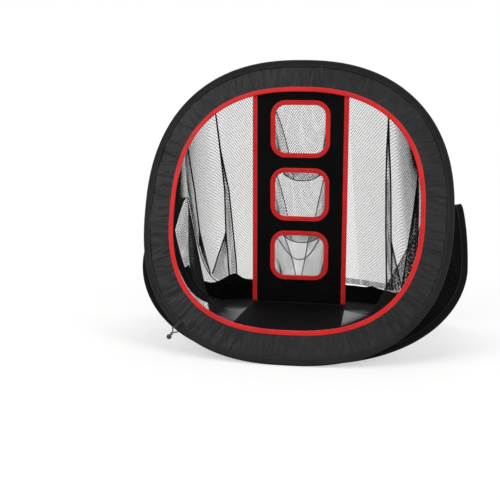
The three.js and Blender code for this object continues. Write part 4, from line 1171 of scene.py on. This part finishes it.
# The seams of each bag: how far from the middle at its mouth and at its foot, and how far down they start.
pocket_darts = {
    "top": ([(-50, 0.04), (-17, 1.0)], [(50, 0.25), (34, 1.0)]),
    "middle": ([(-47, 0.04), (-21, 1.0)], [(48, 0.04), (17, 1.0)]),
    "bottom": ([(-33, 0.03), (-7, 1.0)], [(19, 0.03), (-4, 1.0)]),
}
low_swag = [(-47, 0.05), (-30, 0.38), (-6, 0.53), (20, 0.40), (40, 0.08)]
corner_at = 0.115
for place, height, middle, foot in windows:
    surface = pocket_surface(height, middle, foot)
    left_dart, right_dart = pocket_darts[place]
    walls = [
        (surface, corner_at, 0.5 - corner_at, 0.0), (surface, 0.5 - corner_at, 0.5 + corner_at, 0.3),
        (surface, 0.5 + corner_at, 1 - corner_at, 0.1), (surface, 1 - corner_at, 1 + corner_at, 0.6),
        (beside(surface, left_dart, 0.42), 0.0, 1.0, 0.45),
        (beside(surface, right_dart, 0.08), 0.0, 1.0, 0.2),
    ]
    lines = []
    for wall_surface, start, end, shift in walls:
        lines += net_lines(wall_surface, start, end, shift, steep=1.3)
    bag = netting("pocket_bag_" + place, lines, bag_yarn_radius)
    hold(bag, "front_frame", ["pocket_net_" + place])
    seams = [surface(np.linspace(0, 0.5, 24), 1.0)]
    for marks in (left_dart, right_dart):
        down = np.linspace(marks[0][1], 1.0, 24)
        seams.append(surface(dart(marks, down), down) + np.array([0.0, 0.7 * mm, 0.0]))
    if place == "bottom":
        swag = through(low_swag, 8)
        seams.append(surface(round_bag(swag[:, 0], swag[:, 1]), swag[:, 1]))
    pocket_seams = seam_cords("pocket_seams_" + place, seams, 0.95 * mm)
    hold(pocket_seams, "front_frame")
    area = sum(measured(wall_surface, start, end)[2] for wall_surface, start, end, _ in walls)
    wide, long, _ = measured(surface)
    declare_net((wide * 1.5, long, area))

# ---- Upper net
# One large piece of netting runs from the front binding over the top and both sides to the rear hoop.
# It is cut too big, so it hangs slack, in long pleats with rolled seams, and lies double between two seams.
net_pleats = ((0.23, -13 * mm), (0.31, 16 * mm), (0.69, 16 * mm), (0.77, -13 * mm))
upper_start, upper_sweep, upper_turn = math.radians(-30), math.radians(240), math.radians(60)


def front_net_edge(angle, tuck):
    return from_edge(front_frames(angle), -(inner_edge - tuck), -behind_tape)


def rear_net_edge(turn, side):
    return from_edge(rear_frames(turn), -(rear_border_width + 1.7 * mm), side * 2.0 * mm)


def upper_net(u, v, shift=0.0):
    """A point of the net: u runs round from the right to the left, v back from the front."""
    angle = upper_start + upper_sweep * u
    edge = front_net_edge(angle, 1 * mm)
    beside_panel = np.abs(edge[..., 0] - panel_middle) - panel_width / 2
    behind = (1 - smooth_step(beside_panel, 40 * mm, 80 * mm)) * (np.sin(angle) > 0)
    edge[..., 1] += (panel_y + behind_tape - edge[..., 1]) * behind
    point = edge + (rear_net_edge(upper_turn + upper_sweep * u, -1) - edge) * v[..., None]
    pleat = sum(height * np.exp(-((u - at) / 0.03) ** 2) for at, height in net_pleats)
    ripple = 2.6 * mm * np.sin(u * 61.0 + 1.3 * np.sin(v * 4.0)) * np.clip((v - 0.25) / 0.6, 0, 1)
    slack = np.maximum(np.sin(math.pi * v), 0) ** 0.8
    away = ((pleat + ripple) * slack + shift * np.minimum(1.0, 8 * v * (1 - v)))[..., None]
    return point + away * np.array([0.0, math.cos(hoop_lean), 0.35])


def hang_between(thing, nodes=()):
    """The finished netting, with its place baked into its points, stands for its CAD nodes."""
    if nodes:
        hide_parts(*nodes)
    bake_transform(thing)
    return thing


def along_net(marks, count=60):
    """Places u and v on the net, evenly along a line through the marks."""
    marks = np.array(marks)
    way = np.hypot(0.9 * np.diff(marks[:, 0]), 0.45 * np.diff(marks[:, 1]))
    way = np.concatenate([[0.0], np.cumsum(way)])
    at = np.linspace(0, way[-1], count)
    return np.interp(at, way, marks[:, 0]), np.interp(at, way, marks[:, 1])


def doubled(first, second, behind=1.6 * mm):
    """The second layer of netting between two seams, just behind the first layer."""
    (u_a, v_a), (u_b, v_b) = along_net(first), along_net(second)
    down = np.linspace(0, 1, len(u_a))

    def surface(across, t):
        u_left, v_left = np.interp(t, down, u_a), np.interp(t, down, v_a)
        u_right, v_right = np.interp(t, down, u_b), np.interp(t, down, v_b)
        return upper_net(u_left + (u_right - u_left) * across, v_left + (v_right - v_left) * across, behind)
    return surface


# Each seam is a list of places: how far round from the right to the left, and how far back from the front.
right_fold = [(0.330, 0.0), (0.343, 0.19), (0.351, 0.36), (0.360, 0.64), (0.368, 1.0)]
right_fold_side = [(0.330, 0.0), (0.334, 0.15), (0.337, 0.35), (0.347, 0.70), (0.352, 1.0)]
right_tuck = [(0.347, 0.70), (0.337, 0.83), (0.325, 0.97)]
right_gather = [(0.200, 0.05), (0.223, 0.28), (0.263, 0.545), (0.292, 0.735), (0.322, 0.98)]
right_gather_side = [(0.200, 0.05), (0.223, 0.29), (0.242, 0.60), (0.264, 0.90)]
left_fold = [(0.665, 0.0), (0.660, 0.255), (0.657, 0.43), (0.662, 0.68), (0.660, 1.0)]
left_fold_side = [(0.665, 0.0), (0.660, 0.20), (0.645, 0.435), (0.640, 0.85), (0.640, 1.0)]
left_tuck = [(0.662, 0.68), (0.690, 0.835), (0.712, 0.99)]
left_gather = [(0.772, 0.0), (0.753, 0.41), (0.748, 0.78), (0.755, 0.98)]
left_gather_side = [(0.748, 0.78), (0.733, 0.91), (0.718, 1.0)]
net_seams = {
    "right": [right_fold, right_fold_side, right_tuck, right_gather, right_gather_side],
    "left": [left_fold, left_fold_side, left_tuck, left_gather, left_gather_side],
}
double_strips = {
    "right": [
        (right_fold, right_fold_side), (right_fold_side[3:], right_tuck), (right_gather, right_gather_side),
        ([(0.352, 0.965), (0.352, 1.0)], [(0.50, 0.968), (0.50, 1.0)]),
    ],
    "left": [
        (left_fold, left_fold_side), (left_fold[3:], left_tuck), (left_gather[2:], left_gather_side),
        ([(0.64, 0.975), (0.64, 1.0)], [(0.50, 0.975), (0.50, 1.0)]),
    ],
}
for word, start, end, shift, radius in (
    ("right", 0.0, 0.31, 0.0, yarn_radius), ("right_of_panel", 0.31, 0.43, 0.5, yarn_radius),
    ("behind_panel", 0.43, 0.57, 0.5, 0.33 * mm), ("left_of_panel", 0.57, 0.69, 0.5, yarn_radius),
    ("left", 0.69, 1.0, 0.0, yarn_radius),
):
    net = netting("upper_net_" + word, net_lines(upper_net, start, end, shift, steep=1.6), radius)
    hang_between(net, ["upper_net"])
    if word in net_seams:
        seams = [upper_net(*along_net(marks)) for marks in net_seams[word]]
        hang_between(seam_cords("upper_net_seams_" + word, seams, 1.6 * mm))
        folded = []
        for first, second in double_strips[word]:
            folded += net_lines(doubled(first, second), offset=0.4, steep=1.5)
            folded += net_lines(doubled(first, second, 3.4 * mm), offset=0.9, pitch=5.0 * mm, steep=1.2)
        hang_between(netting("upper_net_folds_" + word, folded))
    declare_net(measured(upper_net, start, end))

# ---- Floor net
# A second piece of netting is slung low between the two hoops, and keeps a ball off the ground.
# Its middle is drawn up to the foot of the panel, and its far edge is sewn to the far hem.
floor_last = 0.05
side_angle, side_turn = upper_start - floor_last, upper_turn - floor_last
floor_pitch, floor_yarn_radius = 6.0 * mm, 0.52 * mm


def floor_base(u, v):
    """The net pulled straight between its two sewn edges."""
    angle = -math.pi - side_angle + (2 * side_angle + math.pi) * u
    turn = full_turn - side_turn + (2 * side_turn - full_turn) * u
    down = smooth_step(np.abs(np.sin(turn / 2)), 0.80, 0.90)[..., None]
    on_hem = from_edge(rear_frames(turn), -(hem_width + 4 * mm), behind_tape)
    far = rear_net_edge(turn, 1) * (1 - down) + on_hem * down
    near = front_net_edge(angle, 4 * mm)
    return near + (far - near) * v[..., None]


middle_line = floor_base(np.array([0.5, 0.5]), np.array([0.0, 1.0]))
crease = float((panel_y - middle_line[0, 1]) / (middle_line[1, 1] - middle_line[0, 1]))
under_panel = float(floor_base(np.array([0.5]), np.array([crease]))[0, 2])
floor_lift = panel_foot - 6 * mm - under_panel


def floor_net(u, v):
    point = floor_base(u, v)
    bell = np.exp(-((u - 0.5) / 0.1) ** 2)
    tent = np.where(v < crease, v / crease, (1 - v) / (1 - crease))
    belly = (1 - bell) * np.sin(math.pi * v)
    point[..., 2] += floor_lift * bell * tent + (4 + 1.5 * (1 + np.sin(u * 47.0))) * mm * belly
    return point


low_net = netting("floor_netting", net_lines(floor_net, pitch=floor_pitch), floor_yarn_radius)
hold(low_net, "front_frame", ["floor_net"])
tuple(middle_line[0])
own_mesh(low_net)
declare_net(measured(floor_net))

# ---- Floor strip
# A strip of the black cloth runs back from the front binding to the panel's foot, and carries its pull.
# It hangs a little slack between its two seams.
strip_front_half = panel_width / 2 + 6 * mm
low_angles = np.linspace(math.radians(-120), math.radians(-60), 2000)
low_edge = from_edge(front_frames(low_angles), -(inner_edge + 0.7 * mm), 0.0)
strip_rows, strip_columns = 28, 40
strip_points = []
for i in range(strip_columns + 1):
    x = -strip_front_half + 2 * strip_front_half * i / strip_columns
    start = np.array([np.interp(panel_middle + x, low_edge[:, 0], low_edge[:, k]) for k in range(3)])
    end_x = panel_middle + x / strip_front_half * panel_width / 2
    end = np.array([end_x, panel_y + cloth_half, panel_foot - 0.7 * mm])
    for j in range(strip_rows + 1):
        t = j / strip_rows
        point = start + (end - start) * t
        point[2] += (0.8 * math.sin(x * 60 + 5 * t) - 1.6) * math.sin(math.pi * t) * mm
        strip_points.append(tuple(point))
floor_strip = cloth_sheet(
    "floor_strip_cloth", strip_points, strip_columns, strip_rows, [0, 1], panel_cloth
)
hold(floor_strip, "front_frame", ["floor_strip"])
strip_run = float(np.linalg.norm(np.array(strip_points[strip_rows]) - np.array(strip_points[0])))
